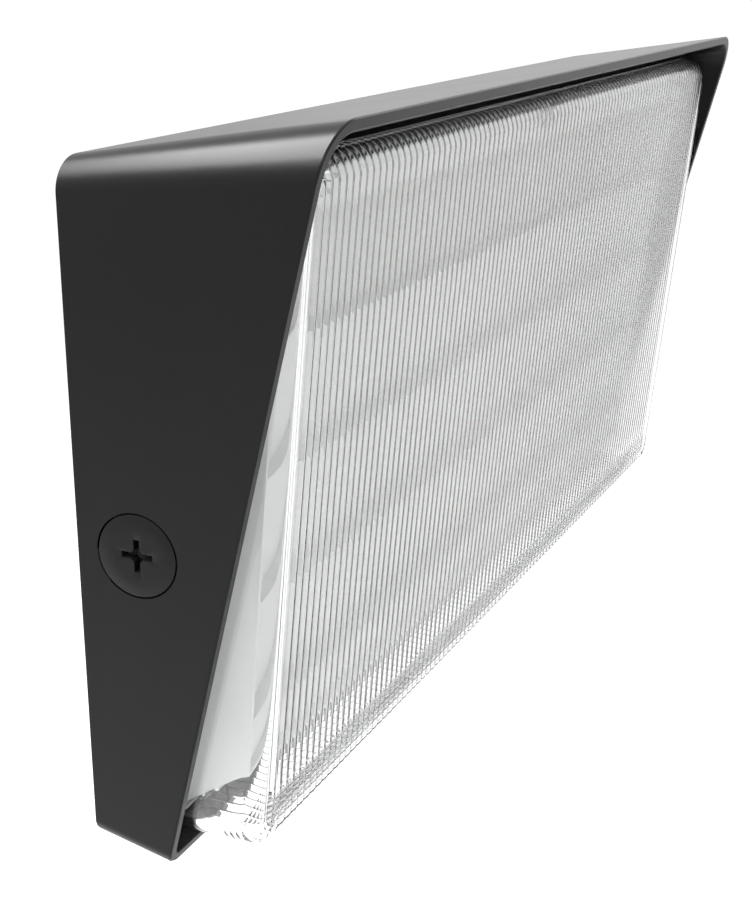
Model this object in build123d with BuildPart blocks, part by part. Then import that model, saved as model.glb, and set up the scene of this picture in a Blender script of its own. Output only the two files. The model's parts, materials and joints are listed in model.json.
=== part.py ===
from build123d import *
from math import asin, atan2, cos, degrees, radians, sin, sqrt, tan
import os

os.makedirs("parts", exist_ok=True)

# Wall pack light, millimetres. X runs along its width, Z is up, the wall is the plane Y = 0 and
# the light faces -Y. The origin is the middle of the wall plate, on the wall.

# ---- driving dimensions ----
WALL_GAP = 2.5  # rear edge of the housing to the wall
BACK_WIDTH = 349.0
FRONT_WIDTH = 340.0  # the sides taper in towards the front for the mould's draft
BACK_HEIGHT = 171.0
TOP_DEPTH = 65.0  # depth of the side at its top edge
BOTTOM_DEPTH = 20.5  # and at its bottom edge
TOP_RISE = 10.6  # how much the top wall climbs over its depth
BOTTOM_DROP = 4.4  # how much the bottom wall falls over its depth
TOP_CORNER_BACK = 4.2
TOP_CORNER_FRONT = 12.6
BOTTOM_CORNER = 4.6
WALL = 3.0  # casting thickness

POCKET_HALF_WIDTH = 85.0  # the hollow in the back that takes the wall plate
POCKET_DEPTH = 7.0
BACK_WALL = 2.5

SEAT_Y = -32.5  # ledge that the lens seats on, where Z = 0
SEAT_SLOPE = 0.194  # and how much it comes forward for each unit of height
LEDGE = 3.0
LEDGE_WIDTH = 10.0
GASKET = 2.0

LENS_FACE_Y = -52.5  # front face of the lens where Z = 0
LENS_SLOPE = 0.084
LENS_WALL = 2.4
LENS_EDGE = 6.0  # radius round the front of the lens

STEP_TOP = 42.5  # height of the reflector's top ledge
STEP_PITCH = 37.7
STEP_COUNT = 4
STEP_DEPTH = 3.0
SHEET = 1.2
TRAY_HALF_WIDTH = 154.0
TRAY_TOP = 73.0
TRAY_BOTTOM = -74.0

LUG_X = 146.0  # lens screws, measured on the leaning ledge
LUG_HIGH = 83.5
LUG_LOW = -80.3
LENS_SCREW_R = 1.5
LUG = 2.2
TRAY_SCREW_X = 160.6
TRAY_SCREW_Z = 46.0
TRAY_SCREW_R = 1.25

HOOK_X = 58.0
HOOK_Z = 79.0
HOOK_WIDTH = 22.0
BEAD = 1.9  # radius of the cast bead that hangs in the hook
PLATE = 1.5
HOOK_PLAY = 0.15
HOOK_Y = -PLATE - HOOK_PLAY - BEAD

PLUG_Y = -18.5
PLUG_Z = -5.4
PLUG_R = 10.3
ENTRY_R = 10.75
THREAD_R = 10.5
PLUG_LENGTH = 10.0
HUB_R = 12.4
HUB_DEPTH = 12.0

DRIVER_LENGTH = 150.0
DRIVER_HEIGHT = 40.0
DRIVER_Z = 36.0
DRIVER_HOLE_X = 80.0
DRIVER_BACK_Y = -14.0
DRIVER_FRONT_Y = -27.0

BRACKET_TOP = 80.5
BRACKET_HOLES = (-110.0, 0.0, 110.0)
BRACKET_HOLE_Y = -21.0
BOARD_BOTTOM = 72.9
BOARD_THICKNESS = 1.6
BOARD_LENGTH = 148.0
EMITTERS = 18  # on each board

CLOSER_X = 60.0
CLOSER_Y = -6.0
CLOSER_TRAVEL = 5.0
CLOSER_SEAT_Z = -82.1  # where its washer seats when it is tight

# ---- helpers ----
FACE_RUN = TOP_DEPTH - BOTTOM_DEPTH
FACE_RISE = (BACK_HEIGHT / 2 + TOP_RISE) - (-BACK_HEIGHT / 2 - BOTTOM_DROP)
SIDE_TILT = degrees(atan2((BACK_WIDTH - FRONT_WIDTH) / 2, TOP_DEPTH))


def leaning_plane(y_at_zero, slope):
    """Plane across the width that passes through Y = y_at_zero - slope * Z, facing forward."""
    return Plane(origin=(0, y_at_zero, 0), x_dir=(1, 0, 0), z_dir=(0, -1, -slope))


def seat_y(z):
    return SEAT_Y - SEAT_SLOPE * z


def tapered_block(near, far, upper, lower):
    """Block between two depths with leaning flat walls and rounded long edges.

    near and far are (y, half width, top, bottom); upper and lower are the radii of its long edges.
    """
    with BuildPart() as block:
        with BuildSketch(Plane.YZ):
            with BuildLine():
                Polyline(
                    (near[0], near[3]),
                    (near[0], near[2]),
                    (far[0], far[2]),
                    (far[0], far[3]),
                    close=True,
                )
            make_face()
        extrude(amount=BACK_WIDTH, both=True)
        lean = near[1] - far[1]
        for side in (-1, 1):
            wall = Plane(
                origin=(side * near[1], near[0], 0),
                x_dir=(0, 0, 1),
                z_dir=(side * (near[0] - far[0]), -lean, 0),
            )
            split(bisect_by=wall, keep=Keep.BOTTOM)
        long_edges = block.edges().filter_by(lambda e: e.bounding_box().size.Y > 10)
        fillet(long_edges.group_by(Axis.Z)[-1], upper)
        fillet(block.edges().filter_by(lambda e: e.bounding_box().size.Y > 10).group_by(Axis.Z)[0], lower)
    return block.part


def hood_limits(depth, inset):
    """Half width, top and bottom of the hood at a depth in front of its rear edge."""
    half = BACK_WIDTH / 2 - (BACK_WIDTH - FRONT_WIDTH) / 2 * depth / TOP_DEPTH - inset
    top = BACK_HEIGHT / 2 + TOP_RISE * depth / TOP_DEPTH - inset
    low = -BACK_HEIGHT / 2 - BOTTOM_DROP * depth / BOTTOM_DEPTH + inset
    return half, top, low


def hood_block(inset, upper, lower):
    near = (-WALL_GAP, *hood_limits(0, inset))
    far = (-WALL_GAP - 76, *hood_limits(76, inset))
    return tapered_block(near, far, upper, lower)


def corner_waste(side):
    """What a top corner of the hood loses: a cone rounds it, wider from the wall to the front."""

    def edge_point(depth):
        half, top, low = hood_limits(depth, 0)
        return Vector(side * half, -WALL_GAP - depth, top)

    tip_depth = -TOP_CORNER_BACK * TOP_DEPTH / (TOP_CORNER_FRONT - TOP_CORNER_BACK)
    tip = edge_point(tip_depth)
    along = (edge_point(TOP_DEPTH) - tip).normalized()
    out_up = Vector(0, TOP_RISE / TOP_DEPTH, 1).normalized()
    out_side = Vector(side, -(BACK_WIDTH - FRONT_WIDTH) / 2 / TOP_DEPTH, 0).normalized()
    # the cone touches the top and the side along lines that leave the corner at this angle
    spread = atan2(TOP_CORNER_FRONT, (edge_point(TOP_DEPTH) - tip).length)
    lean = 1 + out_up.dot(out_side)
    half_angle = asin(sin(spread) / sqrt(2 / lean - cos(spread) ** 2))
    inward = (out_up + out_side) * (-sin(half_angle) / lean)
    axis = inward + along * cos(half_angle) * cos(spread)
    touch = [axis + face * sin(half_angle) for face in (out_up, out_side)]
    over = 3.0
    ends = []
    for depth in (-1, 77):
        y = -WALL_GAP - depth
        on_top, on_side = [tip + line * ((y - tip.Y) / line.Y) for line in touch]
        corner = edge_point(depth)
        with BuildSketch(Plane(origin=(0, y, 0), x_dir=(1, 0, 0), z_dir=(0, -1, 0))) as end:
            with BuildLine():
                Polyline(
                    (on_top.X, on_top.Z),
                    (on_top.X, corner.Z + over),
                    (corner.X + side * over, corner.Z + over),
                    (corner.X + side * over, on_side.Z),
                    (on_side.X, on_side.Z),
                    close=True,
                )
            make_face()
        ends.append(end.sketch)
    start, length = 20.0, 110.0
    with BuildPart() as waste:
        loft(ends, ruled=True)
        with Locations(Plane(origin=tip + axis * start, z_dir=axis).location):
            Cone(
                start * tan(half_angle),
                (start + length) * tan(half_angle),
                length,
                align=(Align.CENTER, Align.CENTER, Align.MIN),
                mode=Mode.SUBTRACT,
            )
    return waste.part


def screw(point, out, head_r, head_h, shank_r, shank_l, sides=6):
    """Screw with a six-sided head: `point` is under its head and `out` is the way its head faces."""
    with BuildPart() as made:
        with BuildSketch(Plane.XY):
            RegularPolygon(head_r, sides)
        extrude(amount=head_h)
        with BuildSketch(Plane.XY):
            RegularPolygon(shank_r, 8)
        extrude(amount=-shank_l)
    place = Plane(origin=point, z_dir=out)
    return place.location * made.part


def hole(radius):
    """Outline of a small screw's hole, for a sketch; eight sides keep the many of them light."""
    return RegularPolygon(radius, 8)


def save(piece, label):
    piece.label = label
    export_step(piece, f"parts/{label}.step")


LENS_SCREWS = [(x, z) for x in (-LUG_X, 0, LUG_X) for z in (LUG_HIGH, LUG_LOW)]
TRAY_SCREWS = [(x, z) for x in (-TRAY_SCREW_X, TRAY_SCREW_X) for z in (TRAY_SCREW_Z, -TRAY_SCREW_Z)]
opening = Plane(
    origin=(0, -WALL_GAP - TOP_DEPTH, BACK_HEIGHT / 2 + TOP_RISE),
    x_dir=(1, 0, 0),
    z_dir=(0, -FACE_RISE, -FACE_RUN),
)
ledge_front = leaning_plane(SEAT_Y, SEAT_SLOPE)
ledge_back = leaning_plane(SEAT_Y + LEDGE, SEAT_SLOPE)

# ---- housing: the hood casting ----
hood = hood_block(0, TOP_CORNER_BACK - 0.5, BOTTOM_CORNER)
corners = [corner_waste(side) for side in (-1, 1)]
hollow = hood_block(WALL, TOP_CORNER_FRONT - WALL, BOTTOM_CORNER - WALL)
rear_block = hood_block(WALL, 5.0, BOTTOM_CORNER - WALL)
window = hood_block(WALL + LEDGE_WIDTH, 3.0, 2.0)

with BuildPart() as front_hollow:
    add(hollow)
    split(bisect_by=ledge_front, keep=Keep.TOP)

with BuildPart() as rear_hollow:
    add(rear_block)
    split(bisect_by=ledge_back, keep=Keep.BOTTOM)
    split(bisect_by=Plane.XZ.offset(WALL_GAP + 1.0 + BACK_WALL), keep=Keep.TOP)
    floor_y = -WALL_GAP - POCKET_DEPTH - BACK_WALL
    with BuildSketch(Plane.XZ) as over_pocket:
        Rectangle(2 * (POCKET_HALF_WIDTH + BACK_WALL), BACK_HEIGHT + 8)
    extrude(amount=-floor_y, mode=Mode.SUBTRACT)

with BuildPart() as ledge_window:
    add(window)
    split(bisect_by=Plane.XZ.offset(14), keep=Keep.TOP)

side_faces = {
    side: Plane(
        origin=(side * BACK_WIDTH / 2, -WALL_GAP, 0),
        x_dir=(side * sin(radians(SIDE_TILT)), cos(radians(SIDE_TILT)), 0),
        z_dir=(side * cos(radians(SIDE_TILT)), -sin(radians(SIDE_TILT)), 0),
    )
    for side in (-1, 1)
}


def entry_plane(side):
    """Plane of a conduit entry, on the side's outer face, facing out."""
    along = (-PLUG_Y - WALL_GAP) / cos(radians(SIDE_TILT))
    face = side_faces[side]
    centre = face.origin - face.x_dir * along + Vector(0, 0, PLUG_Z)
    return Plane(origin=centre, x_dir=(0, 0, 1), z_dir=face.z_dir)


with BuildPart() as housing:
    add(hood)
    add(corners, mode=Mode.SUBTRACT)
    split(bisect_by=opening, keep=Keep.BOTTOM)
    add(front_hollow.part, mode=Mode.SUBTRACT)
    add(rear_hollow.part, mode=Mode.SUBTRACT)
    add(ledge_window.part, mode=Mode.SUBTRACT)
    rim = housing.faces().filter_by(lambda f: f.is_planar and f.normal_at().dot(opening.z_dir) > 0.999)
    chamfer(rim.edges(), 0.5)
    # shallow relief over the back, then the pocket for the wall plate
    with BuildSketch(Plane.XZ.offset(WALL_GAP)):
        RectangleRounded(BACK_WIDTH - 2 * WALL, BACK_HEIGHT - 2 * WALL, 2.5)
    extrude(amount=1.0, mode=Mode.SUBTRACT)
    with BuildSketch(Plane.XZ.offset(WALL_GAP)):
        RectangleRounded(2 * POCKET_HALF_WIDTH, BACK_HEIGHT - 2 * WALL, 2.0)
    extrude(amount=POCKET_DEPTH, mode=Mode.SUBTRACT)
    # threaded conduit entries in both sides
    for side in (-1, 1):
        with BuildSketch(entry_plane(side).offset(-WALL / 2)):
            Circle(HUB_R)
        extrude(amount=-(HUB_DEPTH - WALL / 2))
    for side in (-1, 1):
        with BuildSketch(entry_plane(side)):
            Circle(THREAD_R)
        extrude(amount=-HUB_DEPTH, mode=Mode.SUBTRACT)
        with BuildSketch(entry_plane(side)):
            Circle(ENTRY_R)
        extrude(amount=-2.8, mode=Mode.SUBTRACT)
    # beads that hang in the hooks, each on a web from the top wall
    for x in (-HOOK_X, HOOK_X):
        with BuildSketch(Plane.YZ.offset(x - HOOK_WIDTH / 2 - 2)):
            with Locations((HOOK_Y, HOOK_Z)):
                Circle(BEAD)
            with Locations((HOOK_Y, HOOK_Z + 2.5)):
                Rectangle(1.8, 5)
        extrude(amount=HOOK_WIDTH + 4)
    # bosses for the closing screws
    for x in (-CLOSER_X, CLOSER_X):
        with BuildSketch(Plane.XY.offset(-BACK_HEIGHT / 2 + WALL - 0.5)):
            with Locations((x, CLOSER_Y - 1.4)):
                Rectangle(7.2, 6.2)
        extrude(amount=4.5)
        with BuildSketch(Plane.XY.offset(-BACK_HEIGHT / 2 - 3)):
            with Locations((x, CLOSER_Y)):
                hole(2.3)
        extrude(amount=14, mode=Mode.SUBTRACT)
        with BuildSketch(Plane.XY.offset(-BACK_HEIGHT / 2 - 3)):
            with Locations((x, CLOSER_Y)):
                Circle(3.05)
        extrude(amount=6.4, mode=Mode.SUBTRACT)
    # supply hole
    with BuildSketch(Plane.XZ.offset(WALL_GAP + POCKET_DEPTH - 1)):
        Circle(7.0)
    extrude(amount=BACK_WALL + 3, mode=Mode.SUBTRACT)
    # pillars behind the power supply
    with BuildSketch(Plane.XZ.offset(WALL_GAP + POCKET_DEPTH + BACK_WALL - 0.5)):
        with Locations((-DRIVER_HOLE_X, DRIVER_Z), (DRIVER_HOLE_X, DRIVER_Z)):
            hole(3.8)
    extrude(amount=2.5)
    with BuildSketch(Plane.XZ.offset(-DRIVER_BACK_Y)):
        with Locations((-DRIVER_HOLE_X, DRIVER_Z), (DRIVER_HOLE_X, DRIVER_Z)):
            hole(1.52)
    extrude(amount=-4, mode=Mode.SUBTRACT)
    # screw holes in the ledge
    with BuildSketch(ledge_front.offset(1)):
        with Locations(*LENS_SCREWS):
            hole(LENS_SCREW_R + 0.02)
        with Locations(*TRAY_SCREWS):
            hole(TRAY_SCREW_R + 0.02)
    extrude(amount=-LEDGE - 1.5, mode=Mode.SUBTRACT)
    # pads under the top wall for the bracket of the light sources
    with BuildSketch(Plane.XY.offset(BRACKET_TOP)):
        with Locations(*[(x, BRACKET_HOLE_Y) for x in BRACKET_HOLES]):
            Rectangle(12, 9)
    extrude(amount=6.5)
    with BuildSketch(Plane.XY.offset(BRACKET_TOP)):
        with Locations(*[(x, BRACKET_HOLE_Y) for x in BRACKET_HOLES]):
            hole(1.52)
    extrude(amount=4.5, mode=Mode.SUBTRACT)

save(housing.part, "housing")

# ---- lens: a clear tub, fluted on its front by the mould ----
lens_face = leaning_plane(LENS_FACE_Y, LENS_SLOPE)
lens_rim = ledge_front.offset(GASKET)


def lens_block(inset):
    """Block in the shape of the lens's outside, smaller all round by `inset`; its walls lean in."""
    ends = []
    for y in (-8, -68):
        reach = (-16 - y) / 44
        ends.append((y, 169.0 - 4.0 * reach - inset, 83.2 + 5.3 * reach - inset, -85.0 + 0.8 * reach + inset))
    return tapered_block(*ends, 11.0 - inset, 9.0 - inset)


lens_outside = lens_block(0)
lens_inside = lens_block(LENS_WALL)
with BuildPart() as lens_hollow:
    add(lens_inside)
    split(bisect_by=lens_face.offset(-LENS_WALL), keep=Keep.BOTTOM)
    chamfer(lens_hollow.faces().sort_by(Axis.Y)[0].edges(), 2.4)
    # lugs for the screws stay solid inside its long edges
    with BuildSketch(lens_rim):
        with Locations(*[(x, z * 1.04) for x, z in LENS_SCREWS]):
            Rectangle(11, 16)
    extrude(amount=LUG, mode=Mode.SUBTRACT)

with BuildPart() as lens:
    add(lens_outside)
    split(bisect_by=lens_face, keep=Keep.BOTTOM)
    fillet(lens.faces().sort_by(Axis.Y)[0].edges(), LENS_EDGE)
    add(lens_hollow.part, mode=Mode.SUBTRACT)
    split(bisect_by=lens_rim, keep=Keep.TOP)
    with BuildSketch(lens_rim.offset(5)):
        with Locations(*LENS_SCREWS):
            hole(LENS_SCREW_R + 0.3)
    extrude(amount=-8, mode=Mode.SUBTRACT)

save(lens.part, "lens")

gasket_outside = lens_block(0.4)
gasket_inside = lens_block(3.2)
with BuildPart() as lens_gasket:
    add(gasket_outside)
    add(gasket_inside, mode=Mode.SUBTRACT)
    split(bisect_by=ledge_front, keep=Keep.TOP)
    split(bisect_by=lens_rim, keep=Keep.BOTTOM)

save(lens_gasket.part, "lens_gasket")

# ---- reflector: white moulded tray with its ledges, hung by its rim on the casting's ledge ----
step_heights = [STEP_TOP - k * STEP_PITCH for k in range(STEP_COUNT)]
tips = [(seat_y(z) + 1.5, z) for z in step_heights]
floor_line = [(-27.0, TRAY_TOP - 2)]
for y, z in tips:
    floor_line += [(y + STEP_DEPTH, z), (y, z)]
floor_line += [(tips[-1][0] + 1.2, TRAY_BOTTOM)]
back_line = [(y + 1.1, z - 0.9) for y, z in floor_line]
back_line[0] = (back_line[0][0], TRAY_TOP - 2)

with BuildPart() as tray_hollow:
    with BuildSketch(Plane.YZ):
        with BuildLine():
            front = [(seat_y(TRAY_BOTTOM) - 9, TRAY_BOTTOM), (seat_y(TRAY_TOP) - 9, TRAY_TOP)]
            Polyline(*floor_line, *front, (-27.0, TRAY_TOP), close=True)
        make_face()
    extrude(amount=TRAY_HALF_WIDTH - SHEET, both=True)

rim_outside = lens_block(4.4)
with BuildPart() as tray_rim:
    add(rim_outside)
    split(bisect_by=ledge_front, keep=Keep.TOP)
    split(bisect_by=ledge_front.offset(SHEET), keep=Keep.BOTTOM)

with BuildPart() as reflector:
    with BuildSketch(Plane.YZ):
        with BuildLine():
            low = TRAY_BOTTOM - 0.9
            front = [(seat_y(low) - 0.6, low), (seat_y(TRAY_TOP - 2) - 0.6, TRAY_TOP - 2)]
            Polyline(*back_line, *front, close=True)
        make_face()
    extrude(amount=TRAY_HALF_WIDTH, both=True)
    add(tray_rim.part)
    add(tray_hollow.part, mode=Mode.SUBTRACT)
    with BuildSketch(ledge_front.offset(3)):
        with Locations(*LENS_SCREWS):
            hole(LENS_SCREW_R + 0.3)
        with Locations(*TRAY_SCREWS):
            hole(TRAY_SCREW_R + 0.2)
    extrude(amount=-4, mode=Mode.SUBTRACT)

save(reflector.part, "reflector")

forward = ledge_front.z_dir
lug_face = lens_rim.offset(LUG)
lens_screws = Compound(
    children=[
        screw(lug_face.from_local_coords(Vector(x, z)), forward, 2.8, 1.6, LENS_SCREW_R, 6.6)
        for x, z in LENS_SCREWS
    ]
)
save(lens_screws, "lens_screws")
tray_face = ledge_front.offset(SHEET)
reflector_screws = Compound(
    children=[
        screw(tray_face.from_local_coords(Vector(x, z)), forward, 2.4, 1.5, TRAY_SCREW_R, 4.0)
        for x, z in TRAY_SCREWS
    ]
)
save(reflector_screws, "reflector_screws")

# ---- light sources, out of sight under the top wall ----
BOARD_X = BOARD_LENGTH / 2 + 1.5
BOARD_HOLES = [(side * BOARD_X + x, -33.5) for side in (-1, 1) for x in (-66, 66)]
with BuildPart() as led_bracket:
    with BuildSketch(Plane.YZ):
        with BuildLine():
            shelf = BOARD_BOTTOM + BOARD_THICKNESS
            Polyline(
                (-45.0, shelf),
                (-28.0, shelf),
                (-28.0, BRACKET_TOP - 2),
                (-16.5, BRACKET_TOP - 2),
                (-16.5, BRACKET_TOP),
                (-30.5, BRACKET_TOP),
                (-30.5, shelf + 2.5),
                (-45.0, shelf + 2.5),
                close=True,
            )
        make_face()
    extrude(amount=152, both=True)
    fillet(led_bracket.edges().filter_by(Axis.X).group_by(Axis.Z)[-1].sort_by(Axis.Y)[:1], 1.5)
    with BuildSketch(Plane.XY.offset(BRACKET_TOP + 1)):
        with Locations(*[(x, BRACKET_HOLE_Y) for x in BRACKET_HOLES]):
            hole(1.8)
    extrude(amount=-4, mode=Mode.SUBTRACT)
    with BuildSketch(Plane.XY.offset(BOARD_BOTTOM)):
        with Locations(*BOARD_HOLES):
            hole(1.27)
    extrude(amount=6, mode=Mode.SUBTRACT)

save(led_bracket.part, "led_bracket")

with BuildPart() as led_boards:
    with BuildSketch(Plane.XY.offset(BOARD_BOTTOM)):
        with Locations((-BOARD_X, -38.0), (BOARD_X, -38.0)):
            Rectangle(BOARD_LENGTH, 13)
        with Locations(*BOARD_HOLES):
            RegularPolygon(1.5, 8, mode=Mode.SUBTRACT)
    extrude(amount=BOARD_THICKNESS)

save(led_boards.part, "led_boards")

with BuildPart() as led_emitters:
    with BuildSketch(Plane.XY.offset(BOARD_BOTTOM)):
        for side in (-1, 1):
            with Locations((side * BOARD_X, -39.5)):
                with GridLocations(BOARD_LENGTH / EMITTERS, 1, EMITTERS, 1):
                    Rectangle(3, 3)
    extrude(amount=-0.7)

save(led_emitters.part, "led_emitters")

board_screws = [
    screw(Vector(x, y, BOARD_BOTTOM), Vector(0, 0, -1), 2.4, 1.4, 1.25, 4.0)
    for x, y in BOARD_HOLES
]
bracket_screws = [
    screw(Vector(x, BRACKET_HOLE_Y, BRACKET_TOP - 2), Vector(0, 0, -1), 3.2, 2.2, 1.5, 6.0)
    for x in BRACKET_HOLES
]
save(Compound(children=board_screws), "led_board_screws")
save(Compound(children=bracket_screws), "bracket_screws")

# ---- power supply ----
with BuildPart() as driver_base:
    with BuildSketch(Plane.XZ.offset(-DRIVER_BACK_Y)):
        with Locations((0, DRIVER_Z)):
            RectangleRounded(DRIVER_LENGTH, DRIVER_HEIGHT, 2)
    extrude(amount=DRIVER_BACK_Y - DRIVER_FRONT_Y)
    with BuildSketch(Plane.XZ.offset(-DRIVER_BACK_Y + SHEET)):
        with Locations((0, DRIVER_Z)):
            Rectangle(DRIVER_LENGTH - 2 * SHEET, DRIVER_HEIGHT - 2 * SHEET)
    extrude(amount=20, mode=Mode.SUBTRACT)
    with BuildSketch(Plane.XZ.offset(-DRIVER_BACK_Y)):
        with Locations((0, DRIVER_Z)):
            SlotOverall(2 * DRIVER_HOLE_X + 10, 10)
    extrude(amount=SHEET)
    with BuildSketch(Plane.XZ.offset(-DRIVER_BACK_Y)):
        with Locations((-DRIVER_HOLE_X, DRIVER_Z), (DRIVER_HOLE_X, DRIVER_Z)):
            hole(1.8)
    extrude(amount=SHEET, mode=Mode.SUBTRACT)

save(driver_base.part, "driver_base")

with BuildPart() as driver_lid:
    with BuildSketch(Plane.XZ.offset(-DRIVER_FRONT_Y)):
        with Locations((0, DRIVER_Z)):
            RectangleRounded(DRIVER_LENGTH, DRIVER_HEIGHT, 2)
    extrude(amount=SHEET)
    with BuildSketch(Plane.XZ.offset(-DRIVER_FRONT_Y)):
        with Locations((0, DRIVER_Z)):
            Rectangle(DRIVER_LENGTH - 2 * SHEET - 0.4, DRIVER_HEIGHT - 2 * SHEET - 0.4)
            Rectangle(DRIVER_LENGTH - 4 * SHEET, DRIVER_HEIGHT - 4 * SHEET, mode=Mode.SUBTRACT)
    extrude(amount=-3)

save(driver_lid.part, "driver_lid")

with BuildPart() as driver_board:
    board_face = Plane.XZ.offset(-DRIVER_BACK_Y + SHEET + 2)
    with BuildSketch(board_face):
        with Locations((0, DRIVER_Z)):
            Rectangle(DRIVER_LENGTH - 6, DRIVER_HEIGHT - 4)
    extrude(amount=1.6)
    with BuildSketch(board_face.offset(1.6)):
        with Locations((12, DRIVER_Z)):
            Rectangle(22, 20)
        with Locations((-30, DRIVER_Z + 4)):
            Rectangle(14, 14)
        with Locations((46, DRIVER_Z + 6), (-56, DRIVER_Z - 5)):
            RegularPolygon(4.5, 12)
        with Locations((58, DRIVER_Z - 6)):
            Rectangle(10, 7)
    extrude(amount=5.5)
    with BuildSketch(Plane.XZ.offset(-DRIVER_BACK_Y + SHEET)):
        with Locations((0, DRIVER_Z)):
            with GridLocations(136, 28, 2, 2):
                Rectangle(4, 4)
    extrude(amount=2)

save(driver_board.part, "driver_board")

driver_screws = [
    screw(Vector(x, DRIVER_BACK_Y - SHEET, DRIVER_Z), Vector(0, -1, 0), 3.0, 2.0, 1.5, 4.0)
    for x in (-DRIVER_HOLE_X, DRIVER_HOLE_X)
]
save(Compound(children=driver_screws), "driver_screws")

# ---- supply parts ----
SIDE_FLOOR_Y = -WALL_GAP - 1.0 - BACK_WALL
with BuildPart() as terminal_block:
    with BuildSketch(Plane.YZ.offset(100)):
        with BuildLine():
            Polyline(
                (SIDE_FLOOR_Y, -9),
                (-14, -9),
                (-22, -4),
                (-22, 4),
                (-14, 9),
                (SIDE_FLOOR_Y, 9),
                close=True,
            )
        make_face()
    extrude(amount=30)
    with BuildSketch(Plane.XZ.offset(22)):
        with Locations((105.5, 0), (115, 0), (124.5, 0)):
            hole(2.6)
    extrude(amount=-5, mode=Mode.SUBTRACT)

save(terminal_block.part, "terminal_block")

with BuildPart() as surge_module:
    with BuildSketch(Plane.XZ.offset(-SIDE_FLOOR_Y)):
        with Locations((-118, 34)):
            Rectangle(40, 26)
    extrude(amount=15)
    chamfer(surge_module.faces().sort_by(Axis.Y)[0].edges(), 1.5)

save(surge_module.part, "surge_module")

with BuildPart() as rear_grommet:
    for start, length, radius in ((7.4, 2.05, 9.0), (9.45, 2.6, 6.95), (12.05, 1.95, 9.0)):
        with BuildSketch(Plane.XZ.offset(start)):
            RegularPolygon(radius, 16)
        extrude(amount=length)
    with BuildSketch(Plane.XZ.offset(7)):
        RegularPolygon(1.55, 8)
    extrude(amount=8, mode=Mode.SUBTRACT)

save(rear_grommet.part, "rear_grommet")


def lead(points, bend, radius):
    """Lead along straight runs that are joined by bends."""
    with BuildPart() as made:
        with BuildLine() as route:
            FilletPolyline(*points, radius=bend)
        with BuildSketch(Plane(origin=route.line @ 0, z_dir=route.line % 0)):
            RegularPolygon(radius, 6)
        sweep()
    return made.part


save(lead([(0, -5, 0), (0, -20, 0), (100, -20, 0)], 6, 1.5), "supply_lead")
save(lead([(115, -18, 7.7), (115, -18, 27), (75, -18, 27)], 9, 1.5), "driver_lead")
save(
    lead([(75, -21, 50), (97, -21, 50), (97, -21, 73.6), (97, -31.4, 73.6)], 5, 0.8),
    "led_lead",
)

# ---- wall plate ----
LIP_Y = HOOK_Y - BEAD - HOOK_PLAY
CRADLE_Z = HOOK_Z - BEAD - HOOK_PLAY
PLATE_HALF = 80.0
PLATE_TOP = 81.0
PLATE_BOTTOM = -76.5
BOX_SLOT_X = 44.45  # half of a four inch box's screw spacing
WALL_HOLE_X = 70.0
WALL_HOLE_Z = 60.0
with BuildPart() as wall_plate:
    with BuildSketch(Plane.XZ):
        with Locations((0, (PLATE_TOP + PLATE_BOTTOM) / 2)):
            Rectangle(2 * PLATE_HALF, PLATE_TOP - PLATE_BOTTOM)
        Circle(22, mode=Mode.SUBTRACT)
        with Locations((-BOX_SLOT_X, 0), (BOX_SLOT_X, 0)):
            SlotOverall(12, 4.8, mode=Mode.SUBTRACT)
        with Locations((0, -BOX_SLOT_X), (0, BOX_SLOT_X)):
            SlotOverall(12, 4.8, rotation=90, mode=Mode.SUBTRACT)
        with GridLocations(2 * WALL_HOLE_X, 2 * WALL_HOLE_Z, 2, 2):
            Circle(2.5, mode=Mode.SUBTRACT)
        with Locations((-HOOK_X, PLATE_TOP), (HOOK_X, PLATE_TOP)):
            Rectangle(HOOK_WIDTH + 1, 2 * (PLATE_TOP - CRADLE_Z), mode=Mode.SUBTRACT)
    extrude(amount=PLATE)
    # hooks: strips bent out of the top edge, under the bead and up in front of it
    for x in (-HOOK_X, HOOK_X):
        with BuildSketch(Plane.YZ.offset(x - HOOK_WIDTH / 2)):
            with BuildLine():
                Polyline(
                    (0, CRADLE_Z - PLATE - 1),
                    (0, CRADLE_Z),
                    (LIP_Y, CRADLE_Z),
                    (LIP_Y, PLATE_TOP + 0.3),
                    (LIP_Y - PLATE, PLATE_TOP + 0.3),
                    (LIP_Y - PLATE, CRADLE_Z - PLATE),
                    (-PLATE, CRADLE_Z - PLATE),
                    (-PLATE, CRADLE_Z - PLATE - 1),
                    close=True,
                )
            make_face()
        extrude(amount=HOOK_WIDTH)
    lip_edges = wall_plate.edges().filter_by(Axis.X).group_by(Axis.Y)[0]
    fillet(lip_edges.group_by(Axis.Z)[0], 1.4)
    # lugs along the bottom for the closing screws
    for x in (-CLOSER_X, CLOSER_X):
        with BuildSketch(Plane.XY.offset(PLATE_BOTTOM)):
            with Locations((x, -4.6)):
                Rectangle(14, 9.2)
            with Locations((x, CLOSER_Y)):
                Circle(2.05, mode=Mode.SUBTRACT)
        extrude(amount=PLATE)
    # side flanges stiffen the plate
    for side in (-1, 1):
        with BuildSketch(Plane.XY.offset(-62)):
            with Locations((side * (PLATE_HALF - PLATE / 2), -3.5)):
                Rectangle(PLATE, 7)
        extrude(amount=124)
    # tab for the ground screw
    with BuildSketch(Plane.YZ.offset(30)):
        with Locations((-4.5, -48)):
            Rectangle(9, 10)
        with Locations((-5.0, -48)):
            Circle(2.05, mode=Mode.SUBTRACT)
    extrude(amount=PLATE)

save(wall_plate.part, "wall_plate")
save(screw(Vector(30 + PLATE, -5.0, -48), Vector(1, 0, 0), 3.4, 2.4, 2.0, 6.0), "ground_screw")

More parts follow.
